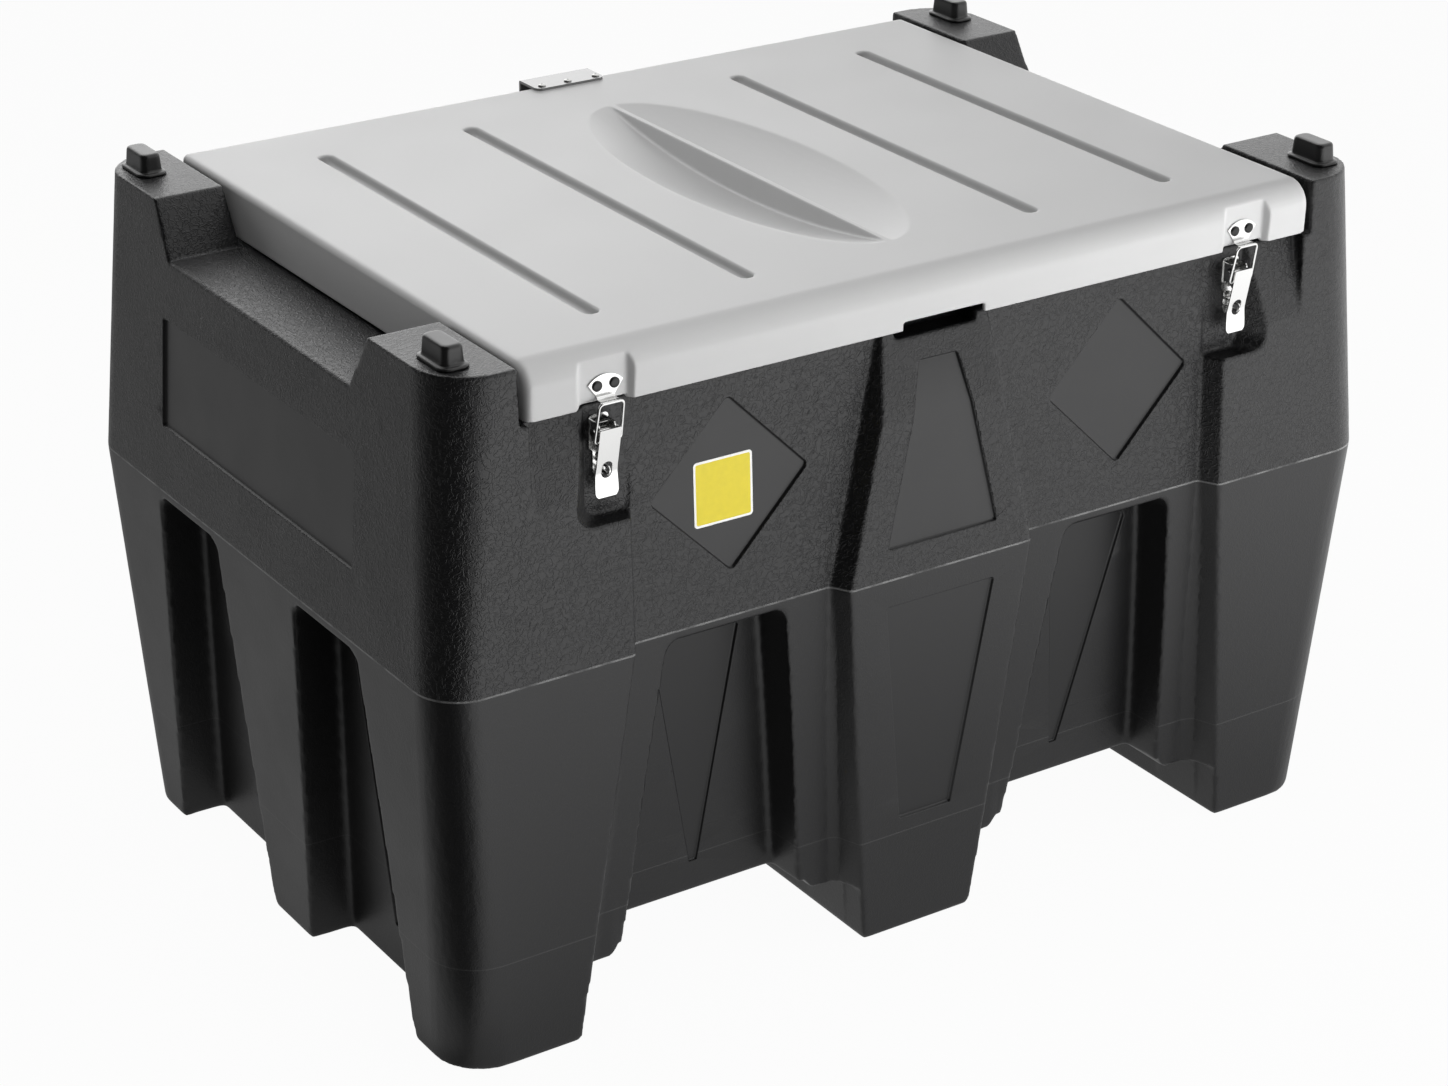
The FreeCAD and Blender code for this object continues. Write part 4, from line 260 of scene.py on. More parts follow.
@dataclass(frozen=True)
class TankSkin(Finish):
    """Rotomoulded polyethylene: leather grain above the waist and a smoother skin below it, with a painted
    pale highlight along the waist and the parting line.

    Real wrinkles are some 3 mm apart and 0.2 mm deep. They are drawn coarser, so that they show.
    """

    waist_mm: float = 445.0
    waist_line_mm: float = 1.5
    parting_mm: float = 127.0
    parting_line_mm: float = 1.0
    wrinkle_mm: float = 6.0
    wrinkle_depth_mm: float = 0.48
    wrinkle_width: float = 0.09
    wrinkles_below: float = 0.18
    pore_mm: float = 1.6
    pore_share: float = 0.35
    mottle_mm: float = 70.0
    mottle: float = 0.16
    spread: Pair = (0.05, 0.06)
    # Painted highlight along the waist and the parting line: its pale colour, the size and range of its
    # patches, the parting line's share and how far the lines are raised in the bump
    ridge_highlight: str = "#777777"
    highlight_patch_mm: float = 30.0
    highlight_patches: Pair = (0.15, 0.9)
    parting_share: float = 0.12
    ridge_raise: float = 0.8

    def band(self, tree: NodeTree, height: NodeSocket, level_mm: float, half_mm: float) -> NodeSocket:
        """Makes a mask that is 1 in a thin level band and fades out beside it.

        Args:
            tree: The material's tree.
            height: The height above the floor, in metres.
            level_mm: Where the band lies.
            half_mm: Half its width.

        Returns:
            The mask.
        """
        off = add_node(tree, "ShaderNodeMath", {0: height, 1: -level_mm * MM}, operation="ADD").outputs[0]
        away = add_node(tree, "ShaderNodeMath", {0: off}, operation="ABSOLUTE").outputs[0]
        return add_node(tree, "ShaderNodeMapRange", {"Value": away, "From Min": half_mm * MM * 0.4,
                                                     "From Max": half_mm * MM, "To Min": 1.0,
                                                     "To Max": 0.0}).outputs[0]

    def relief(self, tree: NodeTree, place: NodeSocket, height: NodeSocket) -> NodeSocket:
        """Makes the pores and the worm-like wrinkles, which are strong above the waist and faint below it.

        Args:
            tree: The material's tree.
            place: The place on the object.
            height: The height above the floor, in metres.

        Returns:
            The height of the relief.
        """
        add = partial(add_node, tree)
        above = add("ShaderNodeMapRange", {"Value": height, "From Min": (self.waist_mm - 0.5) * MM,
                                           "From Max": (self.waist_mm + 0.5) * MM}).outputs[0]
        # A wrinkle is a narrow ridge along the middle values of a bent noise
        bend = add("ShaderNodeTexNoise", {"Vector": place, "Scale": 1 / (self.wrinkle_mm * MM), "Detail": 1.5,
                                          "Distortion": 0.9}).outputs["Fac"]
        middle = add("ShaderNodeMath", {0: bend, 1: -0.5}, operation="ADD").outputs[0]
        apart = add("ShaderNodeMath", {0: middle}, operation="ABSOLUTE").outputs[0]
        ridge = add("ShaderNodeMapRange", {"Value": apart, "From Min": 0.0, "From Max": self.wrinkle_width,
                                           "To Min": 1.0, "To Max": 0.0},
                    interpolation_type="SMOOTHSTEP").outputs[0]
        deep = add("ShaderNodeMapRange", {"Value": above, "To Min": self.wrinkles_below, "To Max": 1.0})
        coarse = add("ShaderNodeMath", {0: ridge, 1: deep.outputs[0]}, operation="MULTIPLY").outputs[0]
        pores = add("ShaderNodeTexNoise", {"Vector": place, "Scale": 1 / (self.pore_mm * MM),
                                           "Detail": 2.0}).outputs["Fac"]
        return add("ShaderNodeMath", {0: pores, 1: self.pore_share, 2: coarse},
                   operation="MULTIPLY_ADD").outputs[0]

    def ridge_lines(self, tree: NodeTree, place: NodeSocket, height: NodeSocket) -> NodeSocket:
        """Makes a mask of the waist's edge, broken into uneven patches, and of the mould's parting line: it
        raises them a little in the bump and carries their painted pale highlight.

        Args:
            tree: The material's tree.
            place: The place on the object.
            height: The height above the floor, in metres.

        Returns:
            The mask.
        """
        add = partial(add_node, tree)
        wander = add("ShaderNodeTexNoise", {"Vector": place, "Scale": 1 / (self.highlight_patch_mm * MM), "Detail": 3.0})
        patchy = add("ShaderNodeMapRange", {"Value": wander.outputs["Fac"], "From Min": 0.36,
                                            "From Max": 0.56, "To Min": self.highlight_patches[0],
                                            "To Max": self.highlight_patches[1]}).outputs[0]
        waist = self.band(tree, height, self.waist_mm, self.waist_line_mm)
        ridge_mask = add("ShaderNodeMath", {0: waist, 1: patchy}, operation="MULTIPLY").outputs[0]
        parting = self.band(tree, height, self.parting_mm, self.parting_line_mm)
        return add("ShaderNodeMath", {0: parting, 1: self.parting_share, 2: ridge_mask},
                   operation="MULTIPLY_ADD").outputs[0]

    def dress(self, tree: NodeTree, shader: Node, output: Node) -> None:
        """Lays the relief, the blotches and the pale lines of painted highlight over each other.

        Args:
            tree: The material's tree.
            shader: Its shader.
            output: Its output, which is not used.
        """
        place = add_node(tree, "ShaderNodeTexCoord").outputs["Object"]
        height = add_node(tree, "ShaderNodeSeparateXYZ", {"Vector": place}).outputs["Z"]
        ridge_mask, relief = self.ridge_lines(tree, place, height), self.relief(tree, place, height)
        raised = add_node(tree, "ShaderNodeMath", {0: ridge_mask, 1: self.ridge_raise, 2: relief},
                          operation="MULTIPLY_ADD")
        bump = add_node(tree, "ShaderNodeBump", {"Height": raised.outputs[0], "Strength": 0.6,
                                                 "Distance": self.wrinkle_depth_mm * MM})
        tree.links.new(bump.outputs[0], shader.inputs["Normal"])
        tone = self.mottled(tree, shader, self.mottle_mm, 4.0, self.mottle, self.spread)
        # Painted highlight: the waist and parting lines are painted pale, as though their ridges catch the
        # light
        colour = add_node(tree, "ShaderNodeMix", {0: ridge_mask, 6: tone, 7: linear(self.ridge_highlight)}, data_type="RGBA")
        tree.links.new(colour.outputs[2], shader.inputs["Base Color"])


@dataclass(frozen=True)
class BareMetal(Finish):
    """Steel, brass or aluminium with the marks of how it was worked."""

    working: Metal = Metal.BRUSHED
    mark_mm: float = 0.6

    def dress(self, tree: NodeTree, shader: Node, output: Node) -> None:
        """Makes it metal, with strokes on brushed work and blotches on zinc.

        Args:
            tree: The material's tree.
            shader: Its shader.
            output: Its output, which is not used.
        """
        shader.inputs["Metallic"].default_value = 1.0
        stretch, spread = self.working.value
        marks = self.grained(tree, shader, self.mark_mm, 3.0, 0.1, 0.015, stretch)
        self.vary_gloss(tree, shader, marks, (spread / 2, spread))


@dataclass(frozen=True)
class Paint(Finish):
    """Enamel over a casting or sheet, with a light orange peel."""

    peel_mm: float = 2.5

    def dress(self, tree: NodeTree, shader: Node, output: Node) -> None:
        """Adds the clear coat and the orange peel."""
        shader.inputs["Coat Weight"].default_value = 0.2
        self.grained(tree, shader, self.peel_mm, 2.0, 0.3, 0.06)


@dataclass(frozen=True)
class ClearPlastic(Finish):
    """Clear polycarbonate."""

    def dress(self, tree: NodeTree, shader: Node, output: Node) -> None:
        """Lets the light through."""
        shader.inputs["Transmission Weight"].default_value = 1.0
        shader.inputs["IOR"].default_value = 1.58


@dataclass(frozen=True)
class PrintedVinyl(Finish):
    """Printed vinyl film: a white edge round a plain coloured middle, with a soft gloss."""

    ink: str = "#dcca2c"
    centre_mm: Pair = (0.0, 0.0)
    half_mm: float = 32.5
    corner_mm: float = 2.0
    scuff_mm: float = 9.0

    def dress(self, tree: NodeTree, shader: Node, output: Node) -> None:
        """Sets the print out from the label's centre.

        Args:
            tree: The material's tree.
            shader: Its shader.
            output: Its output, which is not used.
        """
        add = partial(add_node, tree)
        place = add("ShaderNodeTexCoord").outputs["Object"]
        split = add("ShaderNodeSeparateXYZ", {"Vector": place})
        over = []
        for axis, middle in zip("XZ", self.centre_mm):
            off = add("ShaderNodeMath", {0: split.outputs[axis], 1: -middle * MM}, operation="ADD").outputs[0]
            away = add("ShaderNodeMath", {0: off}, operation="ABSOLUTE").outputs[0]
            past = add("ShaderNodeMath", {0: away, 1: -(self.half_mm - self.corner_mm) * MM}, operation="ADD")
            over.append(add("ShaderNodeMath", {0: past.outputs[0], 1: 0.0}, operation="MAXIMUM").outputs[0])
        reach = add("ShaderNodeCombineXYZ", {0: over[0], 1: over[1]}).outputs[0]
        far = add("ShaderNodeVectorMath", {0: reach}, operation="LENGTH").outputs["Value"]
        inside = add("ShaderNodeMath", {0: far, 1: self.corner_mm * MM}, operation="LESS_THAN").outputs[0]
        scuffs = self.grained(tree, shader, self.scuff_mm, 5.0, 0.2, 0.05)
        print_tone = add("ShaderNodeMix", {0: scuffs, 6: shade(self.ink, 0.9), 7: shade(self.ink, 1.06)},
                         data_type="RGBA").outputs[2]
        tone = add("ShaderNodeMix", {0: inside, 6: linear(self.colour), 7: print_tone}, data_type="RGBA")
        tree.links.new(tone.outputs[2], shader.inputs["Base Color"])


@dataclass(frozen=True)
class StudioFloor(Finish):
    """Floor of the studio: nearly white to the camera, with the object's shadow, and dim to reflections.

    In reflections it is brighter or dimmer by compass direction about the tank's front left corner: once for
    what the front sees and once for the short side, each with its own share of light close to the tank.
    """

    white: float = 0.96
    mirrored: float = 2.25
    corner_m: Pair = (-0.6, -0.4)
    reach_m: Pair = (0.7, 1.7)
    front_near: float = 0.42
    front_stops: tuple[Pair, ...] = ((-180.0, 0.02), (-106.0, 0.02), (-86.0, 1.0), (-62.0, 1.0),
                                     (-40.0, 0.88), (-15.0, 0.68), (30.0, 0.6), (80.0, 0.02))
    side_near: float = 1.2
    side_stops: tuple[Pair, ...] = ((-180.0, 0.02), (60.0, 0.0), (95.0, 0.2), (135.0, 0.2), (165.0, 0.02))

    def dress(self, tree: NodeTree, shader: Node, output: Node) -> None:
        """Mixes the shaded floor, which takes the shadow, with the glow that the camera and mirrors see.

        Args:
            tree: The material's tree.
            shader: Its shader.
            output: Its output.
        """
        add = partial(add_node, tree)
        seen, clear = lines_of_sight(tree)
        place = add("ShaderNodeTexCoord").outputs["Object"]
        away = add("ShaderNodeVectorMath", {0: place}, operation="LENGTH").outputs["Value"]
        from_corner = add("ShaderNodeVectorMath", {0: place, 1: (-self.corner_m[0], -self.corner_m[1], 0.0)},
                          operation="ADD").outputs[0]
        lit = 0.0
        for stops, near in ((self.front_stops, self.front_near), (self.side_stops, self.side_near)):
            reach = add("ShaderNodeMapRange", {"Value": away, "From Min": self.reach_m[0],
                                               "From Max": self.reach_m[1], "To Min": near * self.mirrored,
                                               "To Max": self.mirrored}).outputs[0]
            ring = round_about(tree, from_corner, stops)
            lit = add("ShaderNodeMath", {0: ring, 1: reach, 2: lit}, operation="MULTIPLY_ADD").outputs[0]
        mirror = add("ShaderNodeMath", {0: clear, 1: lit}, operation="MULTIPLY").outputs[0]
        power = add("ShaderNodeMath", {0: seen, 1: mirror}, operation="MAXIMUM").outputs[0]
        part = add("ShaderNodeMath", {0: seen, 1: self.white}, operation="MULTIPLY").outputs[0]
        share = add("ShaderNodeMath", {0: part, 1: clear}, operation="MAXIMUM").outputs[0]
        glow = add("ShaderNodeEmission", {"Color": linear("#ffffff"), "Strength": power}).outputs[0]
        mixed = add("ShaderNodeMixShader", {0: share, 1: shader.outputs[0], 2: glow}).outputs[0]
        tree.links.new(mixed, output.inputs["Surface"])


class FinishShelf:
    """Makes each finish once, by the record's slot name. The comments say what each gives the eye."""

    def __init__(self) -> None:
        """Makes every material."""
        finishes: dict[str, Finish] = {
            # Deep black with a dull sheen, leathery above the waist
            "body_plastic": TankSkin("rotomoulded_polyethylene", "#111112", 0.4),
            # The same plastic from a smooth part of the mould: an even, slightly darker and glossier plane
            "field_plastic": MouldedPlastic("smooth_polyethylene_field", "#101011", 0.38, 1.4, 0.03,
                                            mottle=0.07),
            # Even silver grey without metal flakes, with broad soft highlights
            "lid_plastic": MouldedPlastic("silver_grey_polyethylene", "#c3c3c3", 0.38, 1.1, 0.035, 80.0,
                                          0.025),
            # Black with a waxy gloss on its rounded edges
            "buffer_rubber": MouldedPlastic("moulded_rubber", "#161616", 0.34, 1.0, 0.02, 20.0, 0.1),
            # Dry matt black that shows its cells as a fine roughness
            "seal_foam": MouldedPlastic("closed_cell_foam", "#181818", 0.9, 0.8, 0.1, 20.0, 0.1),
            # Bright, with sharp reflections that waver a little on the pressed sheet
            "stainless": BareMetal("polished_stainless_steel", "#d9d9d8", 0.2, Metal.POLISHED, 8.0),
            # Grey with a satin grain along the sheet's rolling direction
            "zinc_steel": BareMetal("zinc_plated_sheet", "#8b8b8b", 0.34, Metal.BRUSHED),
            # Light grey with cloudy spots of plating
            "screw_steel": BareMetal("zinc_plated_screw", "#a8a8a6", 0.34, Metal.ZINC, 4.0),
            # Dull black with a fine spark-eroded grain
            "black_plastic": MouldedPlastic("black_nylon", "#161616", 0.42, 0.9, 0.03, 20.0, 0.1),
            # Strong even red with a soft gloss
            "cap_plastic": MouldedPlastic("red_polypropylene", "#9c1510", 0.35, 1.2, 0.03, 30.0, 0.06),
            # Matt black that takes up light
            "nitrile": MouldedPlastic("nitrile_rubber", "#121212", 0.6, 1.0, 0.03, 20.0, 0.08),
            # Clear as glass, with a highlight of the studio
            "dial_lens": ClearPlastic("clear_polycarbonate", "#f4f8f8", 0.05),
            # Thin bright orange-red coat
            "needle_paint": Paint("signal_enamel", "#c8321c", 0.4),
            # Warm brown with pores and cloudy spots
            "float_foam": MouldedPlastic("ebonite_float", "#6b4a24", 0.7, 1.0, 0.1, 15.0, 0.15),
            # Blue-grey coat, wavy from the casting below it
            "cast_paint": Paint("enamel_over_cast_iron", "#3c4046", 0.42, 3.0),
            # Darker and smoother coat, with a light orange peel
            "motor_paint": Paint("enamel_over_steel", "#2e3339", 0.36, 2.0),
            # Warm yellow with fine turning marks
            "brass": BareMetal("turned_brass", "#c8a556", 0.26, Metal.BRUSHED),
            # Pale grey with drawing lines along the tube
            "aluminium": BareMetal("drawn_aluminium", "#c2c4c6", 0.3, Metal.BRUSHED),
            # Near black with a dark metal gleam
            "dark_rivet": BareMetal("blackened_steel_rivet", "#3a3a3a", 0.3, Metal.ZINC, 4.0),
            # Soft white that stays bright under the lens
            "dial_face": Paint("white_dial_enamel", "#e8e8e4", 0.45),
            # Flat black lines
            "dial_ink": Paint("black_dial_ink", "#101010", 0.5),
            # Clean yellow and white film, faintly scuffed
            "label": PrintedVinyl("printed_vinyl", "#f2f2f0", 0.35, centre_mm=BlankLabel.centre_mm),
        }
        self.made = {slot: finish.material() for slot, finish in finishes.items()}
        self.recorded = {m["slot"] for m in frame["record"]["materials"]}

    def __getitem__(self, slot: str) -> Material:
        """Returns the material of a slot."""
        return self.made[slot]


# Mesh helpers

def new_piece(name: str, mesh: Mesh, body: str, slots: Sequence[str], shelf: FinishShelf,
              replaced: Iterable[str] = ()) -> Object:
    """Puts a finished mesh in the scene as a piece of the object.

    Args:
        name: The piece's name.
        mesh: Its mesh, in metres, already in place.
        body: The CAD body that it rides on.
        slots: The slots whose finishes it has, the main one first.
        shelf: The materials.
        replaced: The CAD nodes that it stands for.

    Returns:
        The object.
    """
    piece = bpy.data.objects.new(name, mesh)
    bpy.context.scene.collection.objects.link(piece)
    indices = np.zeros(len(mesh.polygons), dtype=np.int32)
    mesh.polygons.foreach_get("material_index", indices)
    mesh.materials.clear()
    for slot in slots:
        mesh.materials.append(shelf[slot])
    mesh.polygons.foreach_set("material_index", indices if len(slots) > 1 else indices * 0)
    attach(piece, body)
    if replaced:
        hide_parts(*replaced)
    LOG.info("%s: %d faces", name, len(mesh.polygons))
    return piece


def loose_object(name: str, mesh: Mesh) -> Object:
    """Links an object to the scene: a helper, which is removed again, or the floor, which stays."""
    helper = bpy.data.objects.new(name, mesh)
    bpy.context.scene.collection.objects.link(helper)
    return helper


def evaluated(piece: Object, name: str) -> Mesh:
    """Applies all modifiers of an object and returns the result as a new mesh."""
    graph = bpy.context.evaluated_depsgraph_get()
    mesh = bpy.data.meshes.new_from_object(piece.evaluated_get(graph))
    mesh.name = name
    return mesh


def to_mesh(shape: BMesh, name: str) -> Mesh:
    """Turns a bmesh into a mesh and frees it."""
    mesh = bpy.data.meshes.new(name)
    shape.to_mesh(mesh)
    shape.free()
    return mesh


def merged_copy(node: str) -> BMesh:
    """Returns a CAD node's mesh with its loose triangles joined."""
    shape = bmesh.new()
    shape.from_mesh(frame["nodes"][node].data)
    bmesh.ops.remove_doubles(shape, verts=shape.verts, dist=0.01 * MM)
    return shape


def places_of(mesh: Mesh) -> np.ndarray:
    """Returns the vertex places of a mesh in millimetres."""
    flat = np.zeros(len(mesh.vertices) * 3)
    mesh.vertices.foreach_get("co", flat)
    return flat.reshape(-1, 3) / MM


def put_places(mesh: Mesh, places: np.ndarray) -> None:
    """Sets the vertex places of a mesh from millimetres."""
    mesh.vertices.foreach_set("co", (places * MM).ravel())
    mesh.update()


def settle(carrier: Object) -> None:
    """Applies all modifiers of a helper object to its own mesh."""
    mesh = evaluated(carrier, carrier.name)
    carrier.modifiers.clear()
    carrier.data = mesh


def released(carrier: Object) -> Mesh:
    """Removes a helper object and returns its mesh."""
    mesh = carrier.data
    bpy.data.objects.remove(carrier)
    return mesh


def creased(mesh: Mesh, degrees: float) -> Mesh:
    """Shades a mesh smooth, apart from edges sharper than an angle, and returns it."""
    mesh.shade_smooth()
    mesh.set_sharp_from_angle(angle=math.radians(degrees))
    return mesh


def connected(first: BMVert) -> set[BMVert]:
    """Finds every vertex that hangs together with a first one.

    Args:
        first: Where the search starts.

    Returns:
        The first vertex and all that its edges lead to.
    """
    seen, queue = {first}, [first]
    while queue:
        for edge in queue.pop().link_edges:
            for vert in edge.verts:
                if vert not in seen:
                    seen.add(vert)
                    queue.append(vert)
    return seen


def islands(shape: BMesh) -> list[set[BMVert]]:
    """Finds the loose parts of a shape.

    Args:
        shape: The shape.

    Returns:
        The vertices of each part.
    """
    parts, seen = [], set()
    for first in shape.verts:
        if first not in seen:
            parts.append(connected(first))
            seen |= parts[-1]
    return parts


def skinned(shape: BMesh, rings: Sequence[Sequence[BMVert]]) -> None:
    """Skins rings of equally many vertices into a closed form with its faces outwards.

    Args:
        shape: The bmesh that holds the vertices.
        rings: The rings, in order along the form.
    """
    faces = [shape.faces.new(rings[0]), shape.faces.new(rings[-1])]
    for low, high in zip(rings, rings[1:]):
        faces += [shape.faces.new((low[i - 1], low[i], high[i], high[i - 1])) for i in range(len(low))]
    bmesh.ops.recalc_face_normals(shape, faces=faces)


def soft_box(size_mm: Point, lift_mm: float, edge_mm: float, segments: int) -> BMesh:
    """Makes a box with rounded edges.

    Args:
        size_mm: Its sides.
        lift_mm: Height of its middle.
        edge_mm: Radius of its edges.
        segments: Faces across each edge.

    Returns:
        The closed shape.
    """
    shape = bmesh.new()
    bmesh.ops.create_cube(shape, size=1.0)
    bmesh.ops.scale(shape, vec=Vector(size_mm) * MM, verts=shape.verts)
    bmesh.ops.translate(shape, vec=(0, 0, lift_mm * MM), verts=shape.verts)
    bmesh.ops.bevel(shape, geom=shape.edges[:], offset=edge_mm * MM, segments=segments, affect="EDGES",
                    profile=0.5)
    return shape


def turned(profile: Sequence[Pair], segments: int) -> BMesh:
    """Turns a profile of radius and height, in millimetres, about the Z axis into a closed shape.

    Args:
        profile: Radius and height of each ring, the first and last on the axis.
        segments: How many sides it gets.

    Returns:
        The closed shape.
    """
    shape = bmesh.new()
    rings = []
    for radius, height in profile:
        if radius == 0:
            rings.append([shape.verts.new((0, 0, height * MM))])
            continue
        turns = [2 * math.pi * i / segments for i in range(segments)]
        rings.append([shape.verts.new(Vector((radius * math.cos(t), radius * math.sin(t), height)) * MM)
                      for t in turns])
    for low, high in zip(rings, rings[1:]):
        for i in range(segments):
            corners = [ring[k % len(ring)] for ring, k in ((low, i), (low, i + 1), (high, i + 1), (high, i))]
            shape.faces.new(list(dict.fromkeys(corners)))
    bmesh.ops.recalc_face_normals(shape, faces=shape.faces)
    return shape


# Sunk fields in the tank's skin

def offset_outline(points: Sequence[Pair], distance: float) -> list[Pair]:
    """Moves a convex outline, counter-clockwise, outwards by a distance.

    Args:
        points: The corners.
        distance: How far each side moves.

    Returns:
        The corners of the moved outline.
    """
    lines = []
    for (x1, y1), (x2, y2) in zip(points, [*points[1:], points[0]]):
        size = math.hypot(x2 - x1, y2 - y1)
        nx, ny = (y2 - y1) / size, (x1 - x2) / size
        lines.append((nx, ny, nx * x1 + ny * y1 + distance))
    moved = []
    for a, b in zip([lines[-1], *lines[:-1]], lines):
        det = a[0] * b[1] - b[0] * a[1]
        moved.append(((a[2] * b[1] - b[2] * a[1]) / det, (a[0] * b[2] - b[0] * a[2]) / det))
    return moved


def rounded_outline(points: Sequence[Pair], radii: Sequence[float],
                    steps: int = 7) -> list[Pair]:
    """Rounds the corners of an outline.

    Args:
        points: The corners.
        radii: The radius at each corner.
        steps: Points along each rounded corner.

    Returns:
        The points of the rounded outline.
    """
    rounded = []
    befores, afters = [points[-1], *points[:-1]], [*points[1:], points[0]]
    for before, corner, after, radius in zip(befores, points, afters, radii):
        here = Vector(corner)
        a, b = (Vector(before) - here).normalized(), (Vector(after) - here).normalized()
        half = a.angle(b) / 2
        centre = here + (a + b).normalized() * (radius / math.sin(half))
        start, end = -a.orthogonal(), b.orthogonal()
        start = start if (here - centre).dot(start) > 0 else -start
        end = end if (here - centre).dot(end) > 0 else -end
        for i in range(steps):
            way = start.slerp(end, i / (steps - 1))
            rounded.append(tuple(centre + way * radius))
    return rounded


class Skin(Enum):
    """The plane faces of the tank that carry sunk fields."""

    FRONT = "front"
    SETBACK = "setback"
    PANEL = "panel"
    LONG_RECESS = "long_recess"
    SIDE = "side"
    SIDE_RECESS = "side_recess"


@dataclass(frozen=True)
class TankForm:
    """The tank's main planes, as distances from the middle in millimetres."""

    waist: float = 445.0
    rim: float = 711.0
    top: float = 770.0
    half_width: Point = (375.0, 400.0, 385.0)
    half_length: Point = (576.0, 600.0, 577.0)
    panel_depth: float = 22.0
    rib_depth_base: float = 37.0
    recess_depth: float = 50.0
    setback_start: float = 620.0
    setback: float = 16.0

    def outer(self, halves: Point, z: Any) -> Any:
        """Returns the distance of an outer plane from the middle at a height."""
        low = halves[0] + (halves[1] - halves[0]) * z / self.waist
        high = halves[1] + (halves[2] - halves[1]) * (z - self.waist) / (self.top - self.waist)
        return np.where(z < self.waist, low, high)

    def rib(self, z: Any) -> Any:
        """Returns the distance of the set-back face below the waist from the middle."""
        at_waist = self.half_width[1] - self.panel_depth
        at_base = self.half_width[0] - self.rib_depth_base
        return at_base + (at_waist - at_base) * z / self.waist

    def plane(self, skin: Skin, z: Any) -> Any:
        """Returns a face's distance from the middle plane at a height.

        Args:
            skin: The face.
            z: The height, or an array of heights.

        Returns:
            The distance in millimetres.
        """
        front, side = self.outer(self.half_width, z), self.outer(self.half_length, z)
        if skin is Skin.SETBACK:
            start = self.outer(self.half_width, self.setback_start)
            end = self.outer(self.half_width, self.rim) - self.setback
            return start + (end - start) * (z - self.setback_start) / (self.rim - self.setback_start)
        return {Skin.FRONT: front, Skin.PANEL: front - self.panel_depth,
                Skin.LONG_RECESS: self.rib(z) - self.recess_depth,
                Skin.SIDE: side, Skin.SIDE_RECESS: side - self.recess_depth}[skin]


@dataclass(frozen=True)
class SunkField:
    """Smooth shallow field in a face, given on the front left or on the left side."""

    skin: Skin
    points: tuple[Pair, ...]
    radii: tuple[float, ...]
    flips: tuple[tuple[int, int], ...]
    cad_depth: float = 2.5
    # Depth behind the face and growth of the outline, from the open side to the floor
    levels: tuple[Pair, ...] = ((-4.0, 1.0), (0.0, 1.0), (0.3, 0.3), (1.0, 0.0), (2.3, -0.7), (3.0, -1.3),
                                (3.4, -2.2))
    least_radius: float = 0.4

    def on_side(self) -> bool:
        """Tells whether the field lies on a short side."""
        return self.skin in (Skin.SIDE, Skin.SIDE_RECESS)

    def tool(self, form: TankForm, flip: tuple[int, int], shape: BMesh) -> None:
        """Adds the closed cutter of one copy of the field.

        Args:
            form: The tank's planes.
            flip: Signs of X and Y of this copy, -1 and -1 for front left.
            shape: The bmesh that takes it.
        """
        rings = []
        for depth, grow in self.levels:
            outline = rounded_outline(offset_outline(self.points, grow),
                                      [max(r + grow, self.least_radius) for r in self.radii])
            ring = []
            for u, z in outline:
                across = float(form.plane(self.skin, z)) - depth
                x, y = (-across, u) if self.on_side() else (u, -across)
                ring.append(shape.verts.new((-flip[0] * x * MM, -flip[1] * y * MM, z * MM)))
            rings.append(ring)
        skinned(shape, rings)

    def inside(self, form: TankForm, flip: tuple[int, int], places: np.ndarray, margin: float) -> np.ndarray:
        """Finds how deep places lie behind the face, within the field's outline.

        Args:
            form: The tank's planes.
            flip: Signs of the copy.
            places: Places in millimetres.
            margin: How far the outline is grown.

        Returns:
            The depth at each place, and minus 1000 outside the outline.
        """
        x, y, z = -flip[0] * places[:, 0], -flip[1] * places[:, 1], places[:, 2]
        u, across = (y, -x) if self.on_side() else (x, -y)
        depth = form.plane(self.skin, z) - across
        kept = np.ones(len(places), dtype=bool)
        for (u1, z1), (u2, z2) in zip(self.points, [*self.points[1:], self.points[0]]):
            size = math.hypot(u2 - u1, z2 - z1)
            kept &= ((u - u1) * (z2 - z1) - (z - z1) * (u2 - u1)) / size <= margin
        return np.where(kept, depth, -1000.0)


FOUR = ((-1, -1), (1, -1), (-1, 1), (1, 1))
LEFT_PAIR, FRONT_PAIR = ((-1, -1), (-1, 1)), ((-1, -1), (1, -1))
EVEN = (3.0,) * 4
FIELDS = (
    SunkField(Skin.PANEL, ((-249.0, 494.0), (-154.0, 588.0), (-249.0, 682.0), (-344.0, 588.0)), (6.0,) * 4,
              FOUR),
    SunkField(Skin.LONG_RECESS, ((-250.0, 118.0), (-240.0, 118.0), (-206.0, 404.0), (-312.0, 404.0)),
              (2.0, 2.0, 3.0, 8.0), FOUR),
    SunkField(Skin.FRONT, ((-70.0, 479.0), (70.0, 479.0), (24.0, 674.0), (-24.0, 674.0)), EVEN, LEFT_PAIR),
    SunkField(Skin.FRONT, ((-34.0, 145.0), (34.0, 145.0), (70.0, 413.0), (-70.0, 413.0)), EVEN, LEFT_PAIR),
    SunkField(Skin.SIDE, ((-217.0, 521.0), (217.0, 521.0), (217.0, 644.0), (-217.0, 644.0)), EVEN,
              FRONT_PAIR),
    SunkField(Skin.SIDE_RECESS, ((-166.0, 60.0), (-154.0, 60.0), (-118.0, 400.0), (-206.0, 400.0)), EVEN,
              FOUR),
)
FIELD_END = SunkField(Skin.SETBACK, ((-41.5, 600.0), (41.5, 600.0), (24.0, 674.0), (-24.0, 674.0)), EVEN,
                      ((-1, -1),))


# Sub-assemblies

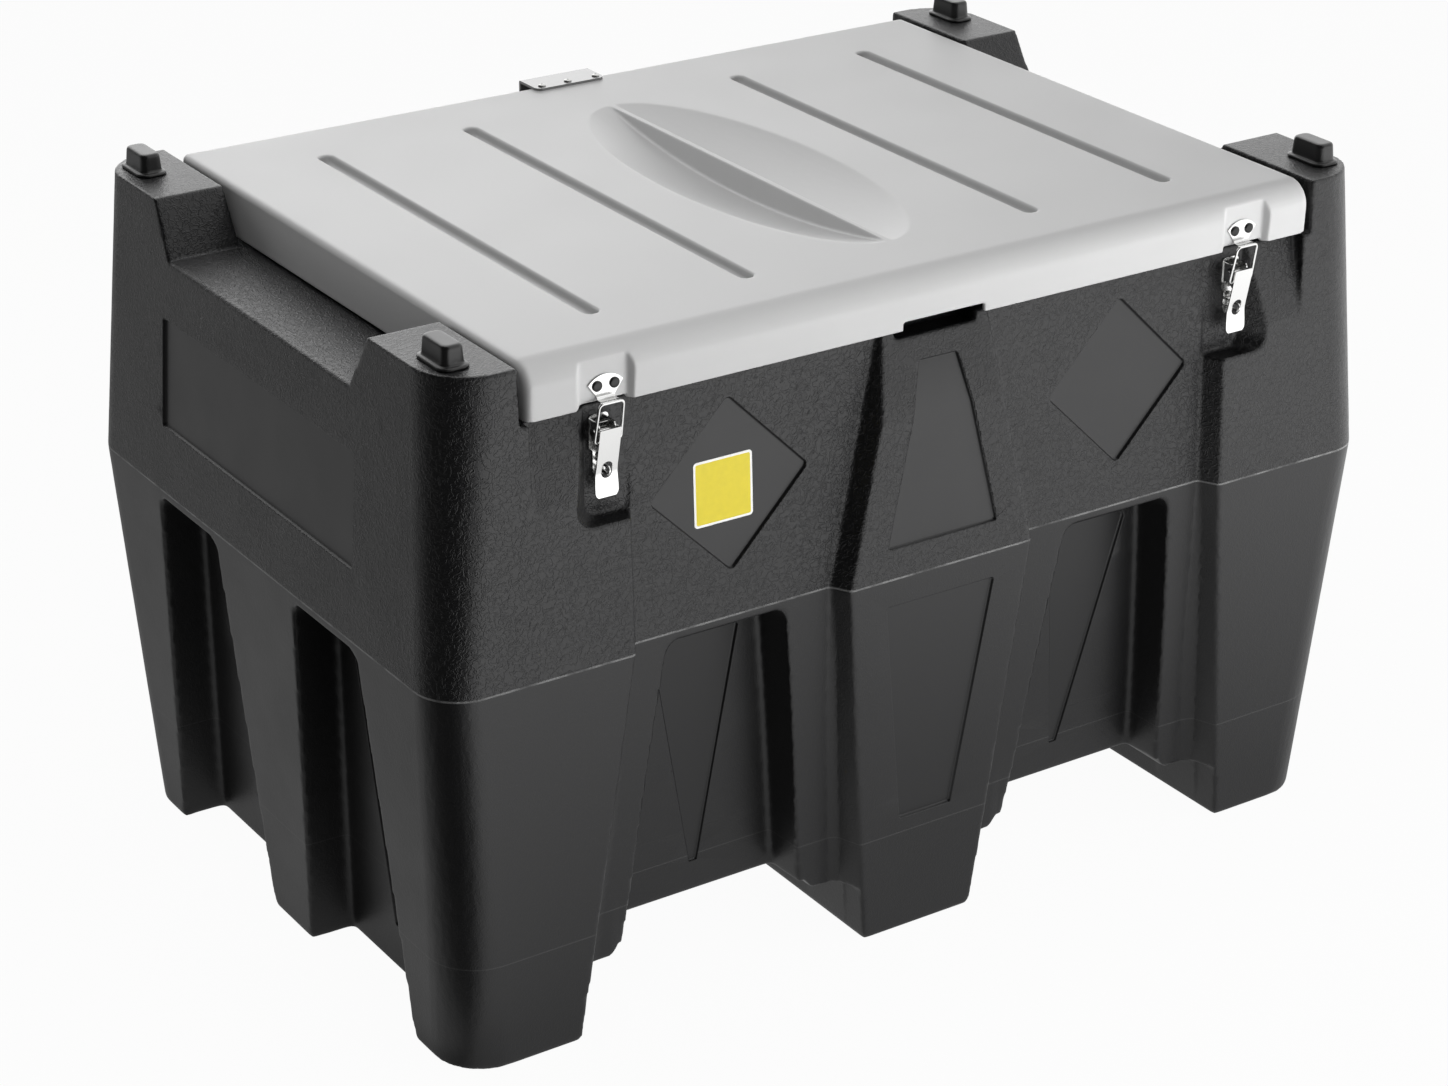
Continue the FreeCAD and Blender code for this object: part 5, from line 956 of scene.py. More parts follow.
def remeshed(shape: BMesh, name: str, voxel_mm: float, true_form: BMesh | None = None) -> Object:
    """Remeshes a closed shape into even small faces that lie on its surface.

    Args:
        shape: The closed shape. It is freed.
        name: The name of the result.
        voxel_mm: Size of the faces.
        true_form: The surface that the faces are laid on, where it isn't the shape. It is freed.

    Returns:
        A helper object that holds the dense mesh.
    """
    carrier = loose_object(name, to_mesh(shape, name))
    form = carrier.data if true_form is None else to_mesh(true_form, name)
    remesh = carrier.modifiers.new("voxels", "REMESH")
    remesh.mode, remesh.voxel_size, remesh.adaptivity = "VOXEL", voxel_mm * MM, 0.0
    settle(carrier)
    target = loose_object("true_form", form)
    wrap = carrier.modifiers.new("wrap", "SHRINKWRAP")
    wrap.wrap_method, wrap.target = "NEAREST_SURFACEPOINT", target
    settle(carrier)
    bpy.data.objects.remove(target)
    return carrier


def smoothed(carrier: Object, rounds: int, weights: np.ndarray | None = None) -> None:
    """Rounds a dense mesh, everywhere or by the weight of each vertex.

    Args:
        carrier: The helper object that holds the mesh.
        rounds: How many times it is smoothed.
        weights: Weight of each vertex from 0 to 1, where it isn't rounded everywhere.
    """
    rounding = carrier.modifiers.new("rounding", "SMOOTH")
    rounding.factor, rounding.iterations = 0.5, rounds
    if weights is not None:
        group = carrier.vertex_groups.new(name="rounding")
        fifths = np.round(weights * 5).astype(int)
        for fifth in range(1, 6):
            group.add(np.nonzero(fifths == fifth)[0].tolist(), fifth / 5, "REPLACE")
        rounding.vertex_group = group.name
    settle(carrier)
    carrier.vertex_groups.clear()


def thinned(carrier: Object, budget: int) -> None:
    """Leaves at most a number of triangles, mostly along the edges.

    Args:
        carrier: The helper object that holds the mesh.
        budget: The number of triangles.
    """
    count = sum(len(p.vertices) - 2 for p in carrier.data.polygons)
    LOG.info("%s: %d triangles before thinning", carrier.name, count)
    if count > budget:
        thin = carrier.modifiers.new("thinning", "DECIMATE")
        thin.ratio = budget / count
        settle(carrier)


def cut_away(carrier: Object, tools: BMesh) -> None:
    """Cuts closed tools out of a closed mesh.

    Args:
        carrier: The helper object that holds the mesh.
        tools: The tools. They are freed.
    """
    cutter = loose_object("cutter", to_mesh(tools, "cutter"))
    cut = carrier.modifiers.new("cut", "BOOLEAN")
    cut.operation, cut.solver, cut.object = "DIFFERENCE", "MANIFOLD", cutter
    settle(carrier)
    bpy.data.objects.remove(cutter)


def flat_faced(carrier: Object) -> Mesh:
    """Shades a mesh smooth with its large faces kept flat, and gives it up.

    Args:
        carrier: The helper object, which is removed.

    Returns:
        The finished mesh.
    """
    carrier.data.shade_smooth()
    weighting = carrier.modifiers.new("flat faces", "WEIGHTED_NORMAL")
    weighting.weight = 50
    settle(carrier)
    return released(carrier)


@dataclass
class Tank:
    """Moulded tank with its sunk fields."""

    shelf: FinishShelf
    form: TankForm = TankForm()
    voxel_mm: float = 2.8
    edge_rounds: int = 3
    recess_rounds: int = 22
    budget: int = 165000
    # The well under the lid, whose floor has holes that are closed
    well_floor: float = 560.0
    well_half_length: float = 400.0
    well_rear_front: Pair = (-280.0, 270.0)
    floor_hole: Pair = (5.5, 0.5)
    # The recesses below the waist: where they start and end along the face, at the foot and at the top
    recess_top: float = 437.0
    recess_depth: float = 62.0
    long_start: Pair = (119.0, 181.0)
    long_end: Pair = (388.0, 328.0)
    short_start: Pair = (42.0, 88.0)
    short_end: Pair = (279.0, 229.0)
    recess_fade: float = 16.0
    foot_fade: float = 26.0
    foot_share: float = 0.6
    # The ribs beside the long recesses
    rib_shift: float = 20.0
    rib_edge: Point = (300.0, 388.0, 431.0)
    column_shift: float = 12.0
    column_edge: Point = (72.0, 119.0, 190.0)
    rib_inner: float = 268.0
    foot_lift: float = 12.0
    foot_span: Pair = (112.0, 392.0)

    def copies(self) -> Iterable[tuple[SunkField, tuple[int, int]]]:
        """Gives every field with each of its copies, the end on the setback last."""
        for sunk in (*FIELDS, FIELD_END):
            for flip in sunk.flips:
                yield sunk, flip

    def outer_skin(self) -> BMesh:
        """Takes the fuel space away, closes the floor holes and fills the fields.

        Returns:
            The closed outer skin.
        """
        shape = merged_copy("tank_shell")
        deepest, highest = ((self.well_floor - below) * MM for below in self.floor_hole)
        rear, front = (y * MM for y in self.well_rear_front)
        walls = []
        for face in shape.faces:
            middle = face.calc_center_median()
            if (deepest < middle.z < highest and abs(face.normal.z) < 0.5
                    and abs(middle.x) < self.well_half_length * MM and rear < middle.y < front):
                walls.append(face)
        bmesh.ops.delete(shape, geom=walls, context="FACES")
        outside = connected(min(shape.verts, key=lambda v: v.co.z))
        bmesh.ops.delete(shape, geom=[v for v in shape.verts if v not in outside], context="VERTS")
        bmesh.ops.holes_fill(shape, edges=[e for e in shape.edges if len(e.link_faces) == 1], sides=0)
        shape.verts.ensure_lookup_table()
        places = np.array([v.co for v in shape.verts]) / MM
        for sunk, flip in self.copies():
            depth = sunk.inside(self.form, flip, places, 0.2)
            for index in np.nonzero((depth > 1.2) & (depth < sunk.cad_depth + 0.5))[0]:
                vert, step = shape.verts[index], depth[index] * MM
                if sunk.on_side():
                    vert.co.x += flip[0] * step
                else:
                    vert.co.y += flip[1] * step
        return shape

    def widen_ribs(self, places: np.ndarray) -> np.ndarray:
        """Widens the ribs beside the long recesses towards their feet, and lifts the recesses' lower edges.

        Args:
            places: Vertex places in millimetres, which are changed.

        Returns:
            The places.
        """
        x, y, z = places.T.copy()
        away = np.abs(x)
        low = np.clip(1.0 - z / self.recess_top, 0.0, 1.0)
        deep = np.clip((np.abs(y) - self.rib_inner) / 12.0, 0.0, 1.0)
        lips = np.clip((self.form.rib(z) + 5.0 - np.abs(y)) / 4.0, 0.0, 1.0)
        rib = np.interp(away, self.rib_edge, [0.0, 1.0, 0.0]) * -self.rib_shift
        column = np.interp(away, self.column_edge, [0.0, 1.0, 0.0]) * self.column_shift
        places[:, 0] = np.sign(x) * (away + (rib + column) * low * deep * lips)
        span = np.clip(np.minimum(away - self.foot_span[0], self.foot_span[1] - away) / 8.0, 0.0, 1.0)
        height = np.interp(z, [20.0, 60.0, 74.0, 160.0], [0.0, 1.0, 1.0, 0.0])
        front = np.clip((np.abs(y) - 180.0) / 80.0, 0.0, 1.0)
        places[:, 2] = z + self.foot_lift * span * height * front * lips
        return places

    def roundness(self, places: np.ndarray) -> np.ndarray:
        """Weighs how much each place is rounded: the insides of the recesses and the skids' feet most.

        Args:
            places: Vertex places in millimetres.

        Returns:
            A weight from 0 to 1 for each place.
        """
        x, y, z = np.abs(places[:, 0]), np.abs(places[:, 1]), places[:, 2]
        below = np.clip((self.form.waist - 2.0 - z) / 6.0, 0.0, 1.0)
        depth = np.zeros(len(places))
        for along, behind, start, end in (
                (y, self.form.outer(self.form.half_length, z) - x, self.short_start, self.short_end),
                (x, self.form.rib(z) - y, self.long_start, self.long_end)):
            first, last = (np.interp(z, [0.0, self.recess_top], edge) for edge in (start, end))
            within = (along > first - 6.0) & (along < last + 6.0)
            within &= (behind > 0) & (behind < self.recess_depth)
            depth = np.where(within, behind, depth)
        recess = np.clip(depth / self.recess_fade, 0.0, 1.0) * below
        feet = np.clip(1.0 - z / self.foot_fade, 0.0, 1.0) * self.foot_share
        rib_feet = np.interp(z, [40.0, 62.0, 82.0, 120.0], [0.0, 1.0, 1.0, 0.0])
        rib_feet *= np.interp(x, [90.0, 110.0, 420.0, 440.0], [0.0, 1.0, 1.0, 0.0])
        rib_feet *= np.interp(self.form.rib(z) - y, [-4.0, 0.0, 10.0, 24.0], [0.0, 0.8, 0.8, 0.0])
        return np.max([recess, feet, rib_feet], axis=0)

    def build(self) -> None:
        """Builds the skin."""
        carrier = remeshed(self.outer_skin(), "tank_skin", self.voxel_mm)
        smoothed(carrier, self.edge_rounds)
        smoothed(carrier, self.recess_rounds, self.roundness(places_of(carrier.data)))
        put_places(carrier.data, self.widen_ribs(places_of(carrier.data)))
        thinned(carrier, self.budget)
        for last in (False, True):
            tools = bmesh.new()
            for sunk, flip in self.copies():
                if (sunk is FIELD_END) is last:
                    sunk.tool(self.form, flip, tools)
            cut_away(carrier, tools)
        mesh = flat_faced(carrier)
        centres = np.zeros(len(mesh.polygons) * 3)
        mesh.polygons.foreach_get("center", centres)
        centres = centres.reshape(-1, 3) / MM
        smooth_ones = np.zeros(len(centres), dtype=bool)
        for sunk, flip in self.copies():
            depth = sunk.inside(self.form, flip, centres, 0.0)
            smooth_ones |= (depth > 0.8) & (depth < 5.0)
        mesh.polygons.foreach_set("material_index", smooth_ones.astype(np.int32))
        new_piece("tank_skin", mesh, "tank", ("body_plastic", "field_plastic"), self.shelf, ("tank_shell",))


@dataclass
class Lid:
    """Moulded lid with softened edges and a slim crest along the dish."""

    shelf: FinishShelf
    voxel_mm: float = 2.0
    edge_rounds: int = 2
    budget: int = 190000
    crest_half: Pair = (7.0, 3.4)
    crest_reach: float = 34.0
    dish: Pair = (-300.0, 258.0)
    dish_floor: float = 735.0
    groove_x: tuple[float, ...] = (-362.0, -180.0, 180.0, 362.0)
    groove_half: Pair = (9.5, 15.0)
    groove_y: Pair = (-330.0, 330.0)
    groove_gain: float = 1.4
    top: float = 771.0
    pad: Point = (38.0, 34.0, 2.2)
    pad_middle: float = -20.0
    pad_reach: float = 238.0
    pad_level: float = 761.9
    pad_slope_deg: float = 9.1

    def pads(self, shape: BMesh) -> None:
        """Adds a lens of plastic under each end of the dish, where the wall is thin.

        Args:
            shape: The lid's solid, which takes them.
        """
        for way in (-1, 1):
            middle = Vector((0, self.pad_middle + way * self.pad_reach, self.pad_level)) * MM
            place = (Matrix.Translation(middle)
                     @ Matrix.Rotation(math.radians(way * self.pad_slope_deg), 4, "X")
                     @ Matrix.Diagonal((*(Vector(self.pad) * MM), 1.0)))
            bmesh.ops.create_uvsphere(shape, u_segments=48, v_segments=24, radius=1.0, matrix=place)

    def slim_crest(self, places: np.ndarray) -> np.ndarray:
        """Draws the crest in the dish in towards the middle, so that its top is a narrow rounded line.

        Args:
            places: Vertex places in millimetres, which are changed.

        Returns:
            The places.
        """
        x, y, z = places.T
        near = (np.abs(x) < self.crest_reach) & (z > self.dish_floor)
        near &= (y > self.dish[0]) & (y < self.dish[1])
        wide, slim = self.crest_half
        away = np.interp(np.abs(x), [0.0, wide, self.crest_reach], [0.0, slim, self.crest_reach])
        places[:, 0] = np.where(near, np.sign(x) * away, x)
        return places

    def deepen_grooves(self, places: np.ndarray) -> np.ndarray:
        """Pulls the grooves down a little, so that they read as dark as real ones do.

        Args:
            places: Vertex places in millimetres, which are changed.

        Returns:
            The places.
        """
        x, y, z = places.T
        away = np.min([np.abs(x - groove) for groove in self.groove_x], axis=0)
        share = np.interp(away, self.groove_half, [1.0, 0.0])
        share *= (y > self.groove_y[0]) & (y < self.groove_y[1]) & (z > self.dish_floor)
        places[:, 2] = self.top - (self.top - z) * (1.0 + (self.groove_gain - 1.0) * share)
        return places

    def build(self) -> None:
        """Builds the lid from its solid."""
        shape = merged_copy("lid")
        self.pads(shape)
        carrier = remeshed(shape, "lid_moulding", self.voxel_mm, merged_copy("lid"))
        smoothed(carrier, self.edge_rounds)
        put_places(carrier.data, self.deepen_grooves(self.slim_crest(places_of(carrier.data))))
        thinned(carrier, self.budget)
        carrier.data.shade_smooth()
        new_piece("lid_moulding", released(carrier), "lid", ("lid_plastic",), self.shelf, ("lid",))


@dataclass
class Buffers:
    """Rubber buffers on the post tops, with the rounded edges of moulded rubber."""

    shelf: FinishShelf
    voxel_mm: float = 1.2
    edge_rounds: int = 7

    def build(self) -> None:
        """Rounds all four."""
        carrier = remeshed(merged_copy("stacking_buffers"), "rubber_buffers", self.voxel_mm)
        smoothed(carrier, self.edge_rounds)
        carrier.data.shade_smooth()
        new_piece("rubber_buffers", released(carrier), "tank", ("buffer_rubber",), self.shelf,
                  ("stacking_buffers",))


@dataclass
class BlankLabel:
    """Plain label on the left diamond: a yellow field with a white edge and nothing printed on it."""

    shelf: FinishShelf
    form: TankForm = TankForm()
    centre_mm: Pair = (-255.0, 582.5)
    half: float = 35.0
    corner: float = 4.0
    thick: float = 0.3
    sunk: float = 3.4

    def build(self) -> None:
        """Lays the film on the field's floor."""
        corners = [(u * self.half, v * self.half) for u, v in ((-1, -1), (1, -1), (1, 1), (-1, 1))]
        outline = rounded_outline(corners, [self.corner] * 4)
        shape = bmesh.new()
        rings = []
        for lift, grow in ((-0.05, 1.0), (self.thick * 0.7, 1.0), (self.thick, 0.995)):
            ring = []
            for u, v in outline:
                z = self.centre_mm[1] + v * grow
                y = -float(self.form.plane(Skin.PANEL, z)) + self.sunk - lift
                ring.append(shape.verts.new(((self.centre_mm[0] + u * grow) * MM, y * MM, z * MM)))
            rings.append(ring)
        skinned(shape, rings)
        new_piece("blank_label", to_mesh(shape, "blank_label"), "tank", ("label",), self.shelf)


class GeometryTree:
    """Base of the node trees that repeat or follow: opens a tree with named inputs and a finish."""

    def __init__(self, name: str, **inputs: str) -> None:
        """Opens a tree.

        Args:
            name: The tree's name.
            inputs: Input name, with underscores for spaces, to the last part of its socket type.
        """
        self.tree = bpy.data.node_groups.new(name, "GeometryNodeTree")
        self.add = partial(add_node, self.tree)
        self.sockets = {}
        for label, kind in {"Geometry": "Geometry", **inputs, "Finish": "Material"}.items():
            label = label.replace("_", " ")
            self.sockets[label] = self.tree.interface.new_socket(name=label, in_out="INPUT",
                                                                 socket_type="NodeSocket" + kind)
        self.tree.interface.new_socket(name="Geometry", in_out="OUTPUT", socket_type="NodeSocketGeometry")
        self.entry = self.add("NodeGroupInput").outputs

    def close(self, geometry: NodeSocket) -> None:
        """Ends the tree in Realize Instances and Set Material."""
        real = self.add("GeometryNodeRealizeInstances", {"Geometry": geometry}).outputs[0]
        dressed = self.add("GeometryNodeSetMaterial", {"Geometry": real, "Material": self.entry["Finish"]})
        self.add("NodeGroupOutput", {"Geometry": dressed.outputs[0]})

    def close_with_copies(self, points: NodeSocket, rotation: NodeSocket, **more: NodeSocket) -> None:
        """Sets a copy of the tree's piece on each point, turned, and ends the tree.

        Args:
            points: The points.
            rotation: The turn of each copy.
            more: Further inputs of the copies, such as their scale.
        """
        piece = self.add("GeometryNodeObjectInfo", {"Object": self.entry["Piece"]}).outputs["Geometry"]
        spread = self.add("GeometryNodeInstanceOnPoints", {"Points": points, "Instance": piece,
                                                           "Rotation": rotation, **more})
        self.close(spread.outputs[0])

    def run(self, name: str, base: Mesh, values: dict[str, Any]) -> Mesh:
        """Runs the tree on a mesh.

        Args:
            name: The name of the result.
            base: The mesh that goes in.
            values: Input name to value.

        Returns:
            The plain mesh that comes out.
        """
        carrier = loose_object(name, base)
        modifier = carrier.modifiers.new(name, "NODES")
        modifier.node_group = self.tree
        for label, value in values.items():
            modifier[self.sockets[label].identifier] = value
        settle(carrier)
        return released(carrier)


class RepeatTree(GeometryTree):
    """Sets one piece on each point, turned to the point's axis and spun at random about it."""

    def __init__(self) -> None:
        """Builds the tree."""
        super().__init__("piece_on_points", Piece="Object", Size="Float", Spin_Seed="Int")
        axis = self.add("GeometryNodeInputNamedAttribute", {"Name": "axis"}, data_type="FLOAT_VECTOR")
        aim = self.add("FunctionNodeAlignRotationToVector", {"Vector": axis.outputs[0]}, axis="Z").outputs[0]
        spin = self.add("FunctionNodeRandomValue", {2: 0.0, 3: 2 * math.pi, "Seed": self.entry["Spin Seed"]})
        turn = self.add("FunctionNodeAxisAngleToRotation", {"Axis": (0.0, 0.0, 1.0),
                                                            "Angle": spin.outputs[1]})
        both = self.add("FunctionNodeRotateRotation", {"Rotation": aim, "Rotate By": turn.outputs[0]},
                        rotation_space="LOCAL")
        self.close_with_copies(self.entry["Geometry"], both.outputs[0], Scale=self.entry["Size"])

    def spread(self, name: str, spots: Sequence[tuple[Point, Point]], piece: Object, seed: int,
               finish: Material, size: float = 1.0) -> Mesh:
        """Sets the piece on each spot.

        Args:
            name: The name of the result.
            spots: Place in millimetres and outward axis of each copy.
            piece: The piece, built about the origin with its axis along Z. It is removed.
            seed: Seed of the spin.
            finish: The material.
            size: Scale of the copies.

        Returns:
            One plain mesh of all copies.
        """
        points = bpy.data.meshes.new(name)
        points.from_pydata([tuple(c * MM for c in place) for place, _ in spots], [], [])
        axes = points.attributes.new("axis", "FLOAT_VECTOR", "POINT")
        axes.data.foreach_set("vector", [c for _, axis in spots for c in axis])
        mesh = self.run(name, points, {"Piece": piece, "Spin Seed": seed, "Size": size, "Finish": finish})
        bpy.data.objects.remove(piece)
        return mesh


class RingTree(GeometryTree):
    """Sets a piece at equal steps along an arc about the Z axis, its X axis pointing outwards."""

    def __init__(self) -> None:
        """Builds the tree."""
        super().__init__("piece_on_ring", Piece="Object", Count="Int", Radius="Float", Start="Float",
                         Step="Float", Middle="Vector")
        entry = self.entry
        number = self.add("GeometryNodeInputIndex").outputs[0]
        angle = self.add("ShaderNodeMath", {0: number, 1: entry["Step"], 2: entry["Start"]},
                         operation="MULTIPLY_ADD").outputs[0]
        across, along = (self.add("ShaderNodeMath", {0: angle}, operation=kind).outputs[0]
                         for kind in ("COSINE", "SINE"))
        way = self.add("ShaderNodeCombineXYZ", {0: across, 1: along}).outputs[0]
        place = self.add("ShaderNodeVectorMath", {0: way, 1: entry["Radius"], 2: entry["Middle"]},
                         operation="MULTIPLY_ADD").outputs[0]
        points = self.add("GeometryNodePoints", {"Count": entry["Count"], "Position": place}).outputs[0]
        turn = self.add("ShaderNodeCombineXYZ", {2: angle}).outputs[0]
        self.close_with_copies(points, turn)

    def set_round(self, shape: BMesh, name: str, count: int, radius_mm: float, arc: Pair, middle_mm: Vector,
                  finish: Material) -> Mesh:
        """Sets copies of a small shape on an arc.

        Args:
            shape: The shape, built about the origin. It is freed.
            name: The name of the result.
            count: How many copies.
            radius_mm: The arc's radius.
            arc: Angle of the first copy and the step to the next.
            middle_mm: The arc's centre.
            finish: The material.

        Returns:
            One plain mesh of all copies.
        """
        piece = loose_object(name, to_mesh(shape, name))
        mesh = self.run(name, bpy.data.meshes.new(name),
                        {"Piece": piece, "Count": count, "Radius": radius_mm * MM, "Start": arc[0],
                         "Step": arc[1], "Middle": tuple(middle_mm * MM), "Finish": finish})
        bpy.data.objects.remove(piece)
        return mesh


class WireTree(GeometryTree):
    """Bends round wire along a chain of points, with rounded corners."""

    def __init__(self) -> None:
        """Builds the tree."""
        super().__init__("bent_wire", Wire_Radius="Float", Bend_Radius="Float")
        chain = self.add("GeometryNodeMeshToCurve", {"Mesh": self.entry["Geometry"]}).outputs[0]
        bent = self.add("GeometryNodeFilletCurve", {"Curve": chain, "Count": 6, "Limit Radius": True,
                                                    "Radius": self.entry["Bend Radius"]}, mode="POLY")
        radius = self.entry["Wire Radius"]
        ring = self.add("GeometryNodeCurvePrimitiveCircle", {"Resolution": 12, "Radius": radius},
                        mode="RADIUS").outputs[0]
        wire = self.add("GeometryNodeCurveToMesh", {"Curve": bent.outputs[0], "Profile Curve": ring,
                                                    "Fill Caps": True})
        self.close(wire.outputs[0])


class Head(Enum):
    """The kinds of fastener head on the object."""

    PAN = "pan"
    RIVET = "rivet"
    HEXAGON = "hexagon"
    SOCKET = "socket"


@dataclass(frozen=True)
class FastenerRow:
    """One CAD node of like fasteners and the head that stands for it."""

    node: str
    head: Head
    radius: float
    height: float
    axis: Point
    seed: int


@dataclass
class Fasteners:
    """Every screw, bolt and rivet head, with recesses and washers."""

    shelf: FinishShelf
    repeat: RepeatTree
    blackened: tuple[str, ...] = ("keeper_rivets",)
    rows: tuple[FastenerRow, ...] = (
        *(FastenerRow(node + "_screws", Head.PAN, radius, 2.5, (0, 0, 1), seed) for node, radius, seed in (
            ("hinge_lid", 4.5, 3), ("hinge_body", 4.0, 4), ("filler", 4.5, 5), ("gauge", 4.5, 6),
            ("holder", 4.5, 7), ("suction", 4.5, 8))),
        FastenerRow("bracket_bolts", Head.HEXAGON, 6.5, 4.5, (0, 0, 1), 9),
        FastenerRow("cover_screws", Head.SOCKET, 4.5, 4.0, (-1, 0, 0), 10),
        FastenerRow("keeper_rivets", Head.RIVET, 5.5, 2.2, (0, -1, 0), 11),
        FastenerRow("latch_base_rivets", Head.RIVET, 4.0, 2.2, (0, -1, 0), 12),
    )

    def cutter(self, sides: int, radius: float, low: float, high: float, turn: float = 0.0) -> BMesh:
        """Makes an upright prism about the Z axis, in millimetres, to cut a recess with.

        Args:
            sides: How many sides it has.
            radius: Its radius at the top, which is a little more than at its foot.
            low: Height of its foot.
            high: Height of its top.
            turn: Angle about the axis.

        Returns:
            The closed shape.
        """
        shape = bmesh.new()
        bmesh.ops.create_cone(shape, cap_ends=True, segments=sides, radius1=radius * 0.8 * MM,
                              radius2=radius * MM, depth=(high - low) * MM)
        bmesh.ops.rotate(shape, verts=shape.verts, cent=(0, 0, 0), matrix=Matrix.Rotation(turn, 3, "Z"))
        bmesh.ops.translate(shape, verts=shape.verts, vec=(0, 0, (high + low) / 2 * MM))
        return shape

    def head(self, row: FastenerRow) -> Object:
        """Makes one head with its underside at the origin and its axis along Z.

        Args:
            row: The fasteners that it is for.

        Returns:
            A helper object that holds the head.
        """
        r, h = row.radius, row.height
        if row.head is Head.HEXAGON:
            washer = turned([(0, 0), (r * 1.25, 0), (r * 1.3, 0.25), (r * 1.25, 0.9), (r * 0.9, 1.0),
                             (0, 1.0)], 32)
            nut = self.cutter(6, r, 0.5, h)
            for vert in nut.verts:
                vert.co.xy = vert.co.xy.normalized() * r * MM
            top = [e for e in nut.edges if all(v.co.z > (h - 0.1) * MM for v in e.verts)]
            bmesh.ops.bevel(nut, geom=top, offset=0.5 * MM, segments=2, affect="EDGES", profile=0.5)
            mesh = to_mesh(nut, row.node)
            washer.from_mesh(mesh)
            return loose_object(row.node, to_mesh(washer, row.node))
        if row.head is Head.SOCKET:
            profile = [(0, 0), (r, 0), (r, h - 0.4), (r - 0.4, h), (0, h)]
        else:
            crown = [(r * math.sin(t), h * (0.35 + 0.65 * math.cos(t))) for t in
                     (math.radians(a) for a in (84, 66, 48, 30, 14))]
            profile = [(0, 0), (r * 0.97, 0), (r, h * 0.12), *crown, (0, h)]
        carrier = loose_object(row.node, to_mesh(turned(profile, 28), row.node))
        if row.head is Head.SOCKET:
            cut_away(carrier, self.cutter(6, r * 0.52, h - 2.4, h + 1.0))
        elif row.head is Head.PAN:
            for turn in (0.0, math.pi / 2):
                slot = self.cutter(4, r * 0.62, h - 1.5, h + 0.6, math.pi / 4)
                bmesh.ops.scale(slot, vec=(1.0, 0.24, 1.0), verts=slot.verts)
                bmesh.ops.rotate(slot, verts=slot.verts, cent=(0, 0, 0), matrix=Matrix.Rotation(turn, 3, "Z"))
                cut_away(carrier, slot)
        return carrier

    def spots(self, row: FastenerRow) -> list[tuple[Point, Point]]:
        """Finds where a CAD node's heads sit: the middle of each solid's outermost end, less the head.

        Args:
            row: The fasteners.

        Returns:
            Place in millimetres and axis of each head.
        """
        shape = merged_copy(row.node)
        axis = Vector(row.axis)
        found = []
        for part in islands(shape):
            corners = [Vector(f(v.co[i] for v in part) for i in range(3)) for f in (min, max)]
            middle = (corners[0] + corners[1]) / 2
            end = max(v.co.dot(axis) for v in part)
            seat = middle + axis * (end - row.height * MM - middle.dot(axis))
            found.append((tuple(seat / MM), row.axis))
        shape.free()
        return found

    def build(self) -> None:
        """Sets the heads of every row."""
        for row in self.rows:
            mesh = self.repeat.spread(row.node + "_heads", self.spots(row), self.head(row), row.seed,
                                      self.shelf["screw_steel"])
            new_piece(row.node + "_heads", creased(mesh, 40.0), BODY_OF[row.node], ("screw_steel",),
                      self.shelf, (row.node,))
            if row.node in self.blackened:
                mesh.materials[0] = self.shelf["dark_rivet"]


@dataclass
class Latches:
    """The latches' wire bails, bent from round wire with inturned ends."""

    shelf: FinishShelf
    wire: WireTree
    latch_x: float = 400.0
    hole: Pair = (-386.0, 675.0)
    top: Pair = (-394.5, 718.0)
    foot_half: float = 15.0
    top_half: float = 13.5
    inturned: float = 10.5
    wire_radius: float = 1.5
    bend_radius: float = 4.5

    def build(self) -> None:
        """Bends both bails."""
        for side, sign in (("left", -1), ("right", 1)):
            path = []
            for turn in (-1, 1):
                legs = [(self.inturned, *self.hole), (self.foot_half, *self.hole), (self.top_half, *self.top)]
                path += [(turn * x, y, z) for x, y, z in (legs if turn < 0 else legs[::-1])]
            chain = bpy.data.meshes.new("bail_path")
            chain.from_pydata([((sign * self.latch_x + x) * MM, y * MM, z * MM) for x, y, z in path],
                              [(i, i + 1) for i in range(len(path) - 1)], [])
            name = "bent_bail_" + side
            mesh = self.wire.run(name, chain, {"Wire Radius": self.wire_radius * MM,
                                               "Bend Radius": self.bend_radius * MM,
                                               "Finish": self.shelf["stainless"]})
            mesh.shade_smooth()
            new_piece(name, mesh, "bail_" + side, ("stainless",), self.shelf, ("latch_bail_" + side,))


